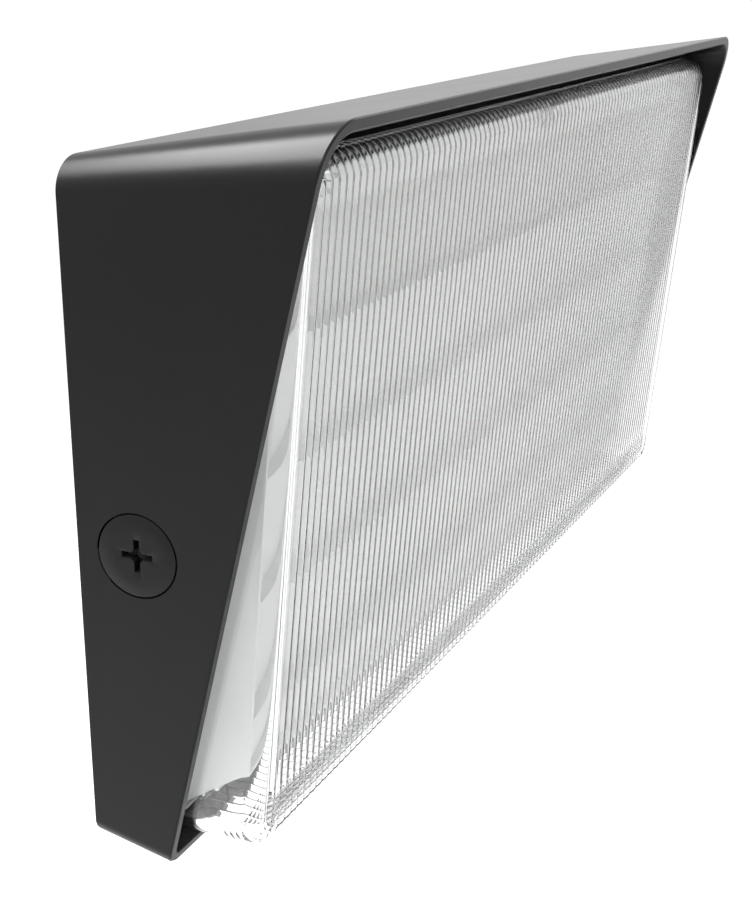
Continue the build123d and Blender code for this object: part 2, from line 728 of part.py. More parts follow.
# ---- foam ----
with BuildPart() as wall_gasket:
    with BuildSketch(Plane.XZ.offset(PLATE)):
        RegularPolygon(35, 8)
        RegularPolygon(27, 8, mode=Mode.SUBTRACT)
    extrude(amount=WALL_GAP + POCKET_DEPTH - PLATE)

save(wall_gasket.part, "wall_gasket")

with BuildPart() as wall_pads:
    with BuildSketch(Plane.XZ):
        for side in (-1, 1):
            with Locations((side * (BACK_WIDTH / 2 - 14), 0)):
                Rectangle(12, 150)
    extrude(amount=WALL_GAP + 1.0)

save(wall_pads.part, "wall_pads")

# ---- closure plugs of the conduit entries ----
for side, word in ((-1, "left"), (1, "right")):
    entry = entry_plane(side)
    with BuildPart() as plug:
        with BuildSketch(entry):
            Circle(PLUG_R)
        extrude(amount=-1.4)
        with BuildSketch(entry.offset(-1.4)):
            Circle(9.3)
        extrude(amount=-1.4)
        with BuildSketch(entry.offset(-2.8)):
            Circle(THREAD_R - 0.08)
        extrude(amount=-(PLUG_LENGTH - 2.8))
        with BuildSketch(entry.offset(-PLUG_LENGTH)):
            RegularPolygon(8.4, 6)
        extrude(amount=5.5, mode=Mode.SUBTRACT)
        with BuildSketch(entry):
            Rectangle(8.2, 1.6)
            Rectangle(1.6, 8.2)
        extrude(amount=-2.2, mode=Mode.SUBTRACT)
        with BuildSketch(entry):
            Circle(1.7)
        extrude(amount=-3.0, mode=Mode.SUBTRACT)
    save(plug.part, f"{word}_plug")

    with BuildPart() as plug_seal:
        with BuildSketch(entry.offset(-1.45)):
            RegularPolygon(ENTRY_R - 0.05, 24)
            RegularPolygon(9.45, 24, mode=Mode.SUBTRACT)
        extrude(amount=-1.3)
    save(plug_seal.part, f"{word}_plug_seal")

# ---- closing screws, stored backed out by their travel ----
for side, word in ((-1, "left"), (1, "right")):
    seat = Vector(side * CLOSER_X, CLOSER_Y, CLOSER_SEAT_Z - CLOSER_TRAVEL)
    with BuildPart() as screw_seal:
        with BuildSketch(Plane.XY.offset(seat.Z)):
            with Locations((seat.X, seat.Y)):
                RegularPolygon(2.95, 12)
                RegularPolygon(2.15, 12, mode=Mode.SUBTRACT)
        extrude(amount=-0.8)
    save(screw_seal.part, f"{word}_screw_seal")
    under_head = seat - Vector(0, 0, 0.8)
    save(screw(under_head, Vector(0, 0, -1), 2.95, 2.0, 2.0, 10.6), f"{word}_closing_screw")
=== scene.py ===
import bpy
import bmesh
import json
from math import cos, pi, radians, sin, sqrt
from mathutils import Matrix, Vector


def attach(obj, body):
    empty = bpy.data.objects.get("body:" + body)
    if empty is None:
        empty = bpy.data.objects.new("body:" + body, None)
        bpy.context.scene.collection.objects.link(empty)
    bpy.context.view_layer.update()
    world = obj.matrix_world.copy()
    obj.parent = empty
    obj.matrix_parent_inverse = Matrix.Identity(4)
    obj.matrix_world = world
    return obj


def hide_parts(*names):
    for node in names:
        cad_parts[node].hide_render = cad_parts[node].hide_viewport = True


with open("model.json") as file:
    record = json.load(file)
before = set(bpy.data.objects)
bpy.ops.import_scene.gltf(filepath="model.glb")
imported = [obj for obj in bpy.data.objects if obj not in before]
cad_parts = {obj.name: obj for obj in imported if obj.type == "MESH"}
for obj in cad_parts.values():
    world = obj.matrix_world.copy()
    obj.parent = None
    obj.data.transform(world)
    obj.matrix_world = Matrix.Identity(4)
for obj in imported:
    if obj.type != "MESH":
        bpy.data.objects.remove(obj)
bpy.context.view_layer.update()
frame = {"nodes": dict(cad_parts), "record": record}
nodes = frame["nodes"]
scene = bpy.context.scene
SLOT = {part["node"]: part["material_slot"] for part in frame["record"]["subparts"]}
BODIES = frame["record"]["behaviour"]["bodies"]
BODY = {node: body for body, members in BODIES.items() for node in members}
MM = 0.001
SIDES = ((-1, "left"), (1, "right"))

# ---- camera, set from the straight edges of the hood in the photograph ----
SENSOR_MM, FOCAL_PIXELS, LONG_SIDE_PIXELS = 36.0, 1449.0, 900.0
CAMERA_PLACE = (-0.4265, -0.2048, 0.1304)
CAMERA_RIGHT = Vector((0.44436, -0.89580, 0.00881))
CAMERA_DOWN = Vector((-0.29399, -0.15512, -0.94314))


def make_camera():
    data = bpy.data.cameras.new("photo_camera")
    data.sensor_fit = "AUTO"
    data.sensor_width = SENSOR_MM
    data.lens = FOCAL_PIXELS * SENSOR_MM / LONG_SIDE_PIXELS
    data.clip_start, data.clip_end = 0.01, 60.0
    camera = bpy.data.objects.new("photo_camera", data)
    ahead = CAMERA_RIGHT.cross(CAMERA_DOWN).normalized()
    turn = Matrix((CAMERA_RIGHT, -CAMERA_DOWN, -ahead)).transposed().to_4x4()
    camera.matrix_world = Matrix.Translation(CAMERA_PLACE) @ turn
    scene.collection.objects.link(camera)
    scene.camera = camera


make_camera()

# ---- shader helpers ----
FLOAT = "NodeSocketFloat"


def join(tree, source, target):
    tree.links.new(source, target)


def give(tree, value, socket):
    """Sets an input to a number, a vector or three parts of a colour, or joins it to an output."""
    if isinstance(value, bpy.types.NodeSocket):
        join(tree, value, socket)
    else:
        socket.default_value = (*value, 1.0) if socket.type == "RGBA" else value


def place(tree, kind, inputs=(), **settings):
    """A node with its settings; inputs go by name or number."""
    node = tree.nodes.new(kind)
    for key, value in settings.items():
        setattr(node, key, value)
    for key, value in dict(inputs).items():
        give(tree, value, node.inputs[key])
    return node


def maths(tree, operation, first, second, clamp=False):
    node = place(
        tree, "ShaderNodeMath", {0: first, 1: second}, operation=operation, use_clamp=clamp
    )
    return node.outputs[0]


def added(tree, first, second, share):
    """The first value plus a share of the second."""
    return maths(tree, "ADD", first, maths(tree, "MULTIPLY", second, share))


def blend(tree, first, second, share):
    """Both values, the second by its share and the first by what is left."""
    return added(tree, maths(tree, "MULTIPLY", first, 1 - share), second, share)


def tints(tree, share, low, high):
    """Mixes two colours by a share; each is an output or three numbers."""
    mixed = place(tree, "ShaderNodeMix", {0: share, 6: low, 7: high}, data_type="RGBA")
    return mixed.outputs[2]


def spread(tree, value, low, high):
    """Stretches a 0 to 1 value over a range."""
    inputs = {"Value": value, "To Min": low, "To Max": high}
    return place(tree, "ShaderNodeMapRange", inputs).outputs[0]


def noise(tree, where, scale, detail, **more):
    inputs = {"Vector": where, "Scale": scale, "Detail": detail, **more}
    return place(tree, "ShaderNodeTexNoise", inputs).outputs["Fac"]


def place_at(tree, scale=(1, 1, 1), turn=(0, 0, 0)):
    """Object coordinates, stretched and turned."""
    where = place(tree, "ShaderNodeTexCoord").outputs["Object"]
    inputs = {"Vector": where, "Scale": scale, "Rotation": turn}
    return place(tree, "ShaderNodeMapping", inputs).outputs["Vector"]


# ---- shared shader groups: each puts out only values ----
def shader_group(name, sizes, outputs):
    """A group that takes a place and some sizes."""
    group = bpy.data.node_groups.new(name, "ShaderNodeTree")
    face = group.interface
    face.new_socket("Place", in_out="INPUT", socket_type="NodeSocketVector")
    for label, value in sizes.items():
        face.new_socket(label, in_out="INPUT", socket_type=FLOAT).default_value = value
    for label in outputs:
        face.new_socket(label, in_out="OUTPUT", socket_type=FLOAT)
    return group, place(group, "NodeGroupInput").outputs


def put_out(group, **values):
    end = place(group, "NodeGroupOutput")
    for label, value in values.items():
        join(group, value, end.inputs[label])
    return group


def build_powder_grain():
    """Powder coat: soft orange peel with fine grain on it, and slow drifts of gloss."""
    sizes = {"Peel Size": 900.0, "Grain Size": 5200.0}
    group, given = shader_group("powder_grain", sizes, ("Height", "Drift", "Grain"))
    peel = noise(group, given["Place"], given["Peel Size"], 1.5)
    grain = noise(group, given["Place"], given["Grain Size"], 2.0)
    drift = noise(group, given["Place"], 22.0, 3.0)
    return put_out(group, Height=added(group, peel, grain, 0.35), Drift=drift, Grain=grain)


def build_dust_film():
    """Thin dust that lies on what faces up, thicker in patches."""
    group, given = shader_group("dust_film", {"Amount": 0.1, "Patch Size": 60.0}, ("Mask",))
    facing = place(group, "ShaderNodeNewGeometry").outputs["Normal"]
    parts = place(group, "ShaderNodeSeparateXYZ", {0: facing})
    upward = maths(group, "MAXIMUM", parts.outputs["Z"], 0.0)
    patch = noise(group, given["Place"], given["Patch Size"], 5.0)
    amount = maths(group, "MULTIPLY", upward, given["Amount"])
    return put_out(group, Mask=maths(group, "MULTIPLY", amount, patch, clamp=True))


def build_drawn_lines():
    """Fine lines left by rolling, drawing or brushing; long along one axis of the place."""
    group, given = shader_group("drawn_lines", {"Fineness": 600.0}, ("Lines", "Blotch"))
    lines = noise(group, given["Place"], given["Fineness"], 4.0, Roughness=0.7)
    return put_out(group, Lines=lines, Blotch=noise(group, given["Place"], 35.0, 3.0))


def build_zinc_spangle():
    """Crystals of galvanised zinc: cells of slightly different tone, with soft borders."""
    group, given = shader_group("zinc_spangle", {"Cell Size": 140.0}, ("Tone", "Border"))
    bend = place(group, "ShaderNodeTexNoise", {"Vector": given["Place"], "Scale": 90.0})
    inputs = {0: bend.outputs["Color"], "Scale": 0.012}
    shift = place(group, "ShaderNodeVectorMath", inputs, operation="SCALE")
    inputs = {0: given["Place"], 1: shift.outputs[0]}
    moved = place(group, "ShaderNodeVectorMath", inputs, operation="ADD")
    inputs = {"Vector": moved.outputs[0], "Scale": given["Cell Size"]}
    cells = place(group, "ShaderNodeTexVoronoi", inputs, feature="F1")
    border = place(group, "ShaderNodeTexVoronoi", inputs, feature="DISTANCE_TO_EDGE")
    tone = place(group, "ShaderNodeSeparateColor", {0: cells.outputs["Color"]})
    edge = maths(group, "MULTIPLY", border.outputs["Distance"], 14.0, clamp=True)
    return put_out(group, Tone=tone.outputs[0], Border=edge)


def build_moulded_skin():
    """Moulded plastic or rubber: fine spark-eroded texture and faint flow clouds."""
    sizes = {"Texture Size": 2400.0, "Cloud Size": 30.0}
    group, given = shader_group("moulded_skin", sizes, ("Height", "Cloud"))
    texture = noise(group, given["Place"], given["Texture Size"], 2.0)
    cloud = noise(group, given["Place"], given["Cloud Size"], 4.0, Distortion=0.6)
    return put_out(group, Height=texture, Cloud=cloud)


def build_foam_cells():
    """Closed cell foam: small rounded pores of mixed size; Pore is 0 down in a pore and 1 towards
    its rim.
    """
    group, given = shader_group("foam_cells", {"Pore Size": 1100.0}, ("Height", "Pore"))
    inputs = {"Vector": given["Place"], "Scale": given["Pore Size"]}
    cells = place(group, "ShaderNodeTexVoronoi", inputs, feature="SMOOTH_F1")
    pore = cells.outputs["Distance"]
    return put_out(group, Height=pore, Pore=maths(group, "MULTIPLY", pore, 1.6, clamp=True))


POWDER = build_powder_grain()
DUST = build_dust_film()
LINES = build_drawn_lines()
SPANGLE = build_zinc_spangle()
SKIN = build_moulded_skin()
FOAM = build_foam_cells()
DUST_TINT = (0.35, 0.33, 0.30)


# ---- finishes ----
def new_finish(name):
    finish = bpy.data.materials.new(name)
    finish.use_nodes = True
    tree = finish.node_tree
    return finish, tree, tree.nodes["Principled BSDF"]


def effect(tree, group, where, **values):
    """Places a shared group in a finish; gives its outputs."""
    sizes = {key.replace("_", " ").title(): value for key, value in values.items()}
    node = place(tree, "ShaderNodeGroup", node_tree=group)
    for key, value in {"Place": where, **sizes}.items():
        give(tree, value, node.inputs[key])
    return node.outputs


def coat(tree, bsdf, height, depth, strength=1.0, **inputs):
    """Sets the shader's inputs and its relief, depth in metres."""
    for key, value in inputs.items():
        give(tree, value, bsdf.inputs[key.replace("_", " ")])
    relief = {"Distance": depth, "Strength": strength, "Height": height}
    join(tree, place(tree, "ShaderNodeBump", relief).outputs[0], bsdf.inputs["Normal"])


def powder_coat():
    finish, tree, bsdf = new_finish("black_powder_coat")
    where = place_at(tree)
    grain = effect(tree, POWDER, where)
    dust = effect(tree, DUST, where, amount=0.035)["Mask"]
    tone = blend(tree, grain["Drift"], grain["Grain"], 0.4)
    base = tints(tree, tone, (0.0025, 0.0025, 0.0027), (0.0065, 0.0065, 0.0069))
    coat(
        tree, bsdf, grain["Height"], 0.000010, 0.6,
        Specular_IOR_Level=0.21,
        Base_Color=tints(tree, dust, base, (0.30, 0.29, 0.27)),
        Roughness=added(tree, spread(tree, grain["Drift"], 0.27, 0.33), dust, 0.4),
    )
    return finish


def clear_moulding():
    finish, tree, bsdf = new_finish("clear_polycarbonate")
    cloud = effect(tree, SKIN, place_at(tree), texture_size=420.0, cloud_size=45.0)["Cloud"]
    coat(
        tree, bsdf, cloud, 0.000003, 0.5,
        Base_Color=(0.985, 0.99, 0.99),
        Transmission_Weight=1.0,
        IOR=1.56,
        Roughness=spread(tree, cloud, 0.004, 0.020),
    )
    return finish


def moulded(name, low, high, gloss, size=2400.0, clouds=30.0, depth=0.000008, dust=0.0):
    """Moulded plastic, resin or rubber; gloss is the lowest and highest roughness."""
    finish, tree, bsdf = new_finish(name)
    where = place_at(tree)
    skin = effect(tree, SKIN, where, texture_size=size, cloud_size=clouds)
    base = tints(tree, skin["Cloud"], low, high)
    if dust:
        base = tints(tree, effect(tree, DUST, where, amount=dust)["Mask"], base, DUST_TINT)
    rough = spread(tree, skin["Height"], *gloss)
    coat(tree, bsdf, skin["Height"], depth, Base_Color=base, Roughness=rough)
    return finish


def drawn_metal(name, low, high, gloss, stretch=(0.04, 1, 1), fineness=600.0, metal=1.0):
    """Rolled, drawn or turned metal; its lines run along the axis that stretch shortens."""
    finish, tree, bsdf = new_finish(name)
    lines = effect(tree, LINES, place_at(tree, stretch), fineness=fineness)
    share = blend(tree, lines["Lines"], lines["Blotch"], 0.35)
    coat(
        tree, bsdf, lines["Lines"], 0.000006,
        Base_Color=tints(tree, share, low, high),
        Roughness=spread(tree, lines["Lines"], *gloss),
        Metallic=metal,
    )
    return finish


def galvanised_plate():
    finish, tree, bsdf = new_finish("galvanised_sheet")
    zinc = effect(tree, SPANGLE, place_at(tree))
    lines = effect(tree, LINES, place_at(tree, (0.05, 1, 1)), fineness=500.0)
    tone = blend(tree, zinc["Tone"], lines["Blotch"], 0.45)
    dark = (0.56, 0.57, 0.59)
    base = tints(tree, tone, dark, (0.70, 0.71, 0.73))
    coat(
        tree, bsdf, zinc["Border"], 0.00002,
        Base_Color=tints(tree, zinc["Border"], dark, base),
        Roughness=added(tree, spread(tree, zinc["Tone"], 0.30, 0.46), lines["Lines"], 0.08),
        Metallic=1.0,
    )
    return finish


def closed_foam():
    finish, tree, bsdf = new_finish("closed_cell_foam")
    where = place_at(tree)
    cells = effect(tree, FOAM, where)
    skin = effect(tree, SKIN, where, cloud_size=50.0)
    # painted shade: the base colour is darker down in the pore hollows
    base = tints(tree, cells["Pore"], (0.018, 0.018, 0.020), (0.050, 0.050, 0.055))
    worn = maths(tree, "MULTIPLY", skin["Cloud"], 0.3)
    coat(
        tree, bsdf, cells["Height"], 0.0003,
        Base_Color=tints(tree, worn, base, (0.09, 0.09, 0.095)),
        Roughness=spread(tree, cells["Pore"], 0.95, 0.75),
    )
    return finish


def circuit_board():
    """Green mask over copper: the straight traces under it show as paler lines."""
    finish, tree, bsdf = new_finish("green_circuit_board")
    where = place_at(tree, turn=(radians(90), 0, 0))
    skin = effect(tree, SKIN, where, cloud_size=60.0)
    inputs = {
        "Vector": where, "Scale": 140.0, "Mortar Size": 0.10, "Mortar Smooth": 0.1,
        "Brick Width": 1.1, "Row Height": 0.35,
    }
    steps = {"offset": 0.37, "offset_frequency": 3, "squash": 1.6, "squash_frequency": 2}
    traces = place(tree, "ShaderNodeTexBrick", inputs, **steps).outputs["Fac"]
    base = tints(tree, skin["Cloud"], (0.012, 0.085, 0.040), (0.020, 0.120, 0.060))
    coat(
        tree, bsdf, traces, 0.00003,
        Base_Color=tints(tree, traces, base, (0.045, 0.22, 0.10)),
        Roughness=spread(tree, skin["Height"], 0.22, 0.34),
    )
    return finish


def phosphor_resin():
    finish, tree, bsdf = new_finish("phosphor_resin")
    skin = effect(tree, SKIN, place_at(tree), texture_size=9000.0, cloud_size=900.0)
    coat(
        tree, bsdf, skin["Height"], 0.00001,
        Base_Color=tints(tree, skin["Height"], (0.86, 0.66, 0.16), (0.95, 0.80, 0.30)),
        Roughness=spread(tree, skin["Cloud"], 0.12, 0.22),
        Coat_Weight=0.6,
        Coat_Roughness=0.08,
    )
    return finish


# slot: name, darkest and lightest tone, roughness from and to, texture, clouds, relief, dust
MOULDED = {
    "silicone": (
        "grey_silicone", (0.60, 0.61, 0.60), (0.70, 0.71, 0.70), (0.42, 0.58), 1800.0, 60.0,
        0.00002),
    "black_rubber": (
        "black_rubber", (0.014,) * 3, (0.030,) * 3, (0.55, 0.72), 3000.0, 80.0, 0.00002),
    "reflector_white": (
        "white_moulding", (0.86, 0.87, 0.87), (0.89, 0.90, 0.90), (0.30, 0.42), 2600.0, 14.0,
        0.000004),
    "board_white": (
        "white_solder_mask", (0.78, 0.79, 0.77), (0.84, 0.85, 0.83), (0.26, 0.40), 3600.0, 90.0,
        0.00001),
    "driver_case": (
        "white_case_plastic", (0.72, 0.72, 0.69), (0.80, 0.80, 0.77), (0.46, 0.62), 1500.0, 25.0,
        0.00003, 0.08),
    "terminal_plastic": (
        "natural_nylon", (0.66, 0.65, 0.58), (0.76, 0.75, 0.69), (0.34, 0.50), 2000.0, 70.0,
        0.00002),
    "surge_plastic": (
        "potted_blue_case", (0.014, 0.030, 0.085), (0.024, 0.045, 0.120), (0.28, 0.42), 1800.0, 45.0,
        0.00002, 0.06),
    "lead_black": (
        "black_jacket", (0.012,) * 3, (0.026,) * 3, (0.40, 0.55), 4200.0, 120.0, 0.00001),
    "lead_white": (
        "white_jacket", (0.66, 0.66, 0.62), (0.76, 0.76, 0.73), (0.38, 0.52), 4200.0, 120.0,
        0.00001),
}
# slot: name, darkest and lightest tone, roughness from and to, stretch, fineness, metal share
DRAWN = {
    "bright_steel": (
        "zinc_plated_steel", (0.48, 0.49, 0.50), (0.74, 0.75, 0.76), (0.20, 0.36), (1, 1, 1),
        1500.0),
    "black_steel": (
        "blackened_steel", (0.020, 0.020, 0.022), (0.050, 0.050, 0.053), (0.32, 0.48), (1, 1, 1),
        1500.0, 0.6),
    "bare_aluminium": ("mill_aluminium", (0.62, 0.63, 0.64), (0.80, 0.81, 0.82), (0.24, 0.38)),
    "ground_green": (
        "green_screw", (0.020, 0.20, 0.055), (0.045, 0.34, 0.100), (0.28, 0.42), (1, 1, 1), 1500.0,
        0.7),
}
FINISH = {slot: moulded(*row) for slot, row in MOULDED.items()}
FINISH |= {slot: drawn_metal(*row) for slot, row in DRAWN.items()}
FINISH |= {
    "housing_paint": powder_coat(),
    "lens_clear": clear_moulding(),
    "phosphor": phosphor_resin(),
    "board_green": circuit_board(),
    "plate_zinc": galvanised_plate(),
    "foam": closed_foam(),
}
for name, node in nodes.items():
    node.data.materials.clear()
    node.data.materials.append(FINISH[SLOT[name]])


# ---- mesh helpers ----
def plain_mesh(name, points, faces=(), edges=()):
    """Mesh from points in millimetres."""
    mesh = bpy.data.meshes.new(name)
    mesh.from_pydata([Vector(p) * MM for p in points], edges, faces)
    return mesh


def add_object(name, mesh):
    piece = bpy.data.objects.new(name, mesh)
    scene.collection.objects.link(piece)
    return piece


def weld(mesh, distance=1e-6):
    """Merges doubled points and turns the faces outwards."""
    clean = bmesh.new()
    clean.from_mesh(mesh)
    bmesh.ops.remove_doubles(clean, verts=clean.verts, dist=distance)
    bmesh.ops.recalc_face_normals(clean, faces=clean.faces)
    clean.to_mesh(mesh)
    clean.free()


def shade(mesh, angle):
    """Smooth shading, with the edges over an angle left sharp."""
    for polygon in mesh.polygons:
        polygon.use_smooth = True
    mesh.set_sharp_from_angle(angle=radians(angle))


def new_piece(name, points, faces, node, smooth):
    """Mesh piece from points (millimetres) and faces, in the finish of a CAD node."""
    mesh = plain_mesh(name, points, faces)
    weld(mesh)
    shade(mesh, smooth)
    mesh.materials.append(FINISH[SLOT[node]])
    return add_object(name, mesh)


def pattern_piece(name, points, faces):
    """A shape without a finish, to instance, cut with or work on."""
    mesh = plain_mesh(name, points, faces)
    weld(mesh, 1e-7)
    return add_object(name, mesh)


def hang(piece, node, stands_for=True):
    """Hangs a piece on the body of a CAD node, mostly in its place."""
    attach(piece, BODY[node])
    if stands_for:
        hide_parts(node)
    return piece


def bake(piece):
    """Turns the piece's modifiers into plain mesh."""
    graph = bpy.context.evaluated_depsgraph_get()
    graph.update()
    mesh = bpy.data.meshes.new_from_object(
        piece.evaluated_get(graph), preserve_all_data_layers=True, depsgraph=graph
    )
    old = piece.data
    piece.modifiers.clear()
    piece.data = mesh
    mesh.name = piece.name
    bpy.data.meshes.remove(old)


def ease_edges(piece, width, angle):
    """Rounds the edges over an angle by a width in millimetres."""
    bevel = piece.modifiers.new("soft_edge", "BEVEL")
    bevel.width, bevel.segments = width * MM, 2
    bevel.limit_method, bevel.angle_limit = "ANGLE", radians(angle)
    bake(piece)


def smooth_copy(node, name, angle, edge=0.0, reshape=None):
    """Copy of a CAD node with merged corners and smooth curves; edge rounds it (millimetres).

    reshape moves points and gives those whose faces stay as they are.
    """
    clean = bmesh.new()
    clean.from_mesh(nodes[node].data)
    bmesh.ops.remove_doubles(clean, verts=clean.verts, dist=2e-6)
    kept = reshape(clean.verts) if reshape else set()
    bmesh.ops.dissolve_limit(
        clean,
        angle_limit=radians(0.4),
        verts=[v for v in clean.verts if v not in kept],
        edges=[e for e in clean.edges if not kept.issuperset(e.verts)],
    )
    mesh = bpy.data.meshes.new(name)
    clean.to_mesh(mesh)
    clean.free()
    mesh.materials.append(FINISH[SLOT[node]])
    shade(mesh, angle)
    piece = add_object(name, mesh)
    if edge:
        ease_edges(piece, edge, angle)
        shade(piece.data, angle)
    weigh = piece.modifiers.new("face_weight", "WEIGHTED_NORMAL")
    weigh.keep_sharp = True
    weigh.weight = 50
    bake(piece)
    return hang(piece, node)


def lathe(profile, segments, centre=(0, 0, 0), axis=(0, 0, 1), shape=None):
    """Points and faces of a turned shape; profile is (radius, height) pairs.

    shape(radius, height, angle) may give another radius, as for a thread.
    """
    turn = Vector(axis).to_track_quat("Z", "Y")
    points, faces, rings = [], [], []
    for radius, height in profile:
        ring = []
        for k in range(1 if radius < 1e-6 else segments):
            angle = 2 * pi * k / segments
            r = shape(radius, height, angle) if shape and radius >= 1e-6 else radius
            ring.append(len(points))
            spot = Vector((r * cos(angle), r * sin(angle), height))
            points.append(Vector(centre) + turn @ spot)
        rings.append(ring)
    for one, two in zip(rings, rings[1:]):
        for k in range(segments):
            near, far = [k, (k + 1) % segments], [(k + 1) % segments, k]
            face = [one[i] for i in near] if len(one) > 1 else one[:]
            faces.append(face + ([two[i] for i in far] if len(two) > 1 else two))
    return points, faces


def rounded_profile(corners, radius, steps=3):
    """Rounds the middle corners of a (radius, height) line by a small radius."""
    out = [corners[0]]
    for before, corner, after in zip(corners, corners[1:], corners[2:]):
        p, q, r = Vector(before), Vector(corner), Vector(after)
        to_p, to_r = (p - q), (r - q)
        cut = min(radius, to_p.length * 0.45, to_r.length * 0.45)
        start, end = q + to_p.normalized() * cut, q + to_r.normalized() * cut
        for k in range(steps + 1):
            t = k / steps
            out.append(tuple(start * (1 - t) ** 2 + q * 2 * t * (1 - t) + end * t * t))
    out.append(corners[-1])
    return out


# ---- Geometry Nodes helpers ----
OBJECT, MATERIAL, WHOLE = "NodeSocketObject", "NodeSocketMaterial", "NodeSocketInt"


class Recipe:
    """A Geometry Nodes tree with named inputs, built node by node."""

    def __init__(self, name, inputs):
        self.tree = bpy.data.node_groups.new(name, "GeometryNodeTree")
        face = self.tree.interface
        face.new_socket("Geometry", in_out="INPUT", socket_type="NodeSocketGeometry")
        for label, kind, value in inputs:
            socket = face.new_socket(label, in_out="INPUT", socket_type=kind)
            if value is not None:
                socket.default_value = value
        face.new_socket("Geometry", in_out="OUTPUT", socket_type="NodeSocketGeometry")
        self.given = self.tree.nodes.new("NodeGroupInput").outputs
        self.end = self.tree.nodes.new("NodeGroupOutput").inputs["Geometry"]

    def node(self, kind, links=(), **settings):
        return place(self.tree, kind, links, **settings)

    def sum(self, operation, first, second=0.0):
        return maths(self.tree, operation, first, second)

    def stored(self, name, kind="FLOAT"):
        made = self.node("GeometryNodeInputNamedAttribute", {"Name": name}, data_type=kind)
        return made.outputs["Attribute"]

    def close(self, geometry):
        """Realises what is instanced, sets the finish and ends the tree."""
        real = self.node("GeometryNodeRealizeInstances", {"Geometry": geometry})
        links = {"Geometry": real.outputs[0], "Material": self.given["Finish"]}
        coated = self.node("GeometryNodeSetMaterial", links)
        self.tree.links.new(coated.outputs[0], self.end)
        return self


def run_recipe(piece, recipe, values):
    """Evaluates a tree on a piece with these named inputs and keeps the plain mesh."""
    modifier = piece.modifiers.new(recipe.tree.name, "NODES")
    modifier.node_group = recipe.tree
    items = recipe.tree.interface.items_tree
    sockets = {s.name: s.identifier for s in items if getattr(s, "in_out", "") == "INPUT"}
    for key, value in values.items():
        modifier[sockets[key]] = value
    bake(piece)
    return piece


def build_scatter():
    """Puts a pattern piece on every point, its axis along the point's stored direction."""
    recipe = Recipe(
        "set_on_points",
        [
            ("Pattern", OBJECT, None),
            ("Finish", MATERIAL, None),
            ("Turn Steps", FLOAT, 1.0),
            ("Turn Unit", FLOAT, 0.0),
            ("Seed", WHOLE, 7),
        ],
    )
    node, given = recipe.node, recipe.given
    source = {"Object": given["Pattern"]}
    pattern = node("GeometryNodeObjectInfo", source, transform_space="ORIGINAL")
    way = {"Vector": recipe.stored("facing", "FLOAT_VECTOR")}
    align = node("FunctionNodeAlignRotationToVector", way, axis="Z", pivot_axis="AUTO")
    chance = node("FunctionNodeRandomValue", {"Seed": given["Seed"]}, data_type="FLOAT")
    share = recipe.sum("MULTIPLY", chance.outputs[1], given["Turn Steps"])
    angle = recipe.sum("MULTIPLY", recipe.sum("FLOOR", share), given["Turn Unit"])
    spin = node("FunctionNodeAxisAngleToRotation", {"Axis": (0, 0, 1), "Angle": angle})
    turns = {"Rotation": align.outputs[0], "Rotate By": spin.outputs[0]}
    both = node("FunctionNodeRotateRotation", turns, rotation_space="LOCAL")
    links = {
        "Points": given["Geometry"],
        "Instance": pattern.outputs["Geometry"],
        "Rotation": both.outputs[0],
    }
    return recipe.close(node("GeometryNodeInstanceOnPoints", links).outputs[0])


SCATTER = build_scatter()


def repeat(name, pattern, spots, node, turns=1, seed=7, stands_for=True, smooth=30.0):
    """One piece made of a pattern set on every spot: (point in millimetres, direction).

    turns is the number of ways that each may be turned about its axis. The pattern goes.
    """
    mesh = plain_mesh(name, [p for p, _ in spots])
    facing = mesh.attributes.new("facing", "FLOAT_VECTOR", "POINT")
    for k, (_, way) in enumerate(spots):
        facing.data[k].vector = Vector(way).normalized()
    values = {
        "Pattern": pattern,
        "Finish": FINISH[SLOT[node]],
        "Turn Steps": float(turns),
        "Turn Unit": 2 * pi / turns,
        "Seed": seed,
    }
    piece = run_recipe(add_object(name, mesh), SCATTER, values)
    bpy.data.objects.remove(pattern)
    shade(piece.data, smooth)
    return hang(piece, node, stands_for)


# ---- hood casting and the tray behind the lens: the CAD shapes with merged corners ----
SIDE_DRAFT, TOP_RISE = 0.06924, 0.16214  # how the hood's side and top run forward
BACK_DEPTH, BACK_HALF, BACK_TOP = 2.5, 174.5, 85.5  # where they start at the back
CAST_CORNER, FULLER_CORNER = (4.22, 0.1284), (8.0, 0.0698)  # corner radius there and its growth


def corner_place(point, full):
    """Where a point lies across a top corner: sizes there, or nothing if it isn't on the rounding.

    `full` tells the fuller rounding from the CAD's; both touch the planes of the side and the top.
    """
    x, ahead, z = abs(point.x) / MM, -point.y / MM - BACK_DEPTH, point.z / MM
    edge_x, edge_z = BACK_HALF - SIDE_DRAFT * ahead, BACK_TOP + TOP_RISE * ahead
    wide, cast = (start + growth * ahead for start, growth in (FULLER_CORNER, CAST_CORNER))
    reach = max(wide, cast) if full else cast
    off_x, off_z = edge_x - x, edge_z - z
    bow = sqrt((reach - off_x) ** 2 + (reach - off_z) ** 2) / reach
    if max(off_x, off_z) > reach * 1.06 or min(off_x, off_z) < -0.3 or abs(bow - 1) > 0.04:
        return None
    return edge_x, edge_z, off_x, off_z, reach, max(wide, cast) / cast


def fuller_corners(points):
    """Rounds the back ends of the hood's top corners to 8 mm; the front ends keep theirs.

    Gives the moved points.
    """
    moved = set()
    for point in points:
        found = corner_place(point.co, False)
        if found:
            moved.add(point)
            edge_x, edge_z, off_x, off_z, _, wider = found
            point.co.x = (edge_x - off_x * wider) * MM * (1 if point.co.x > 0 else -1)
            point.co.z = (edge_z - off_z * wider) * MM
    return moved


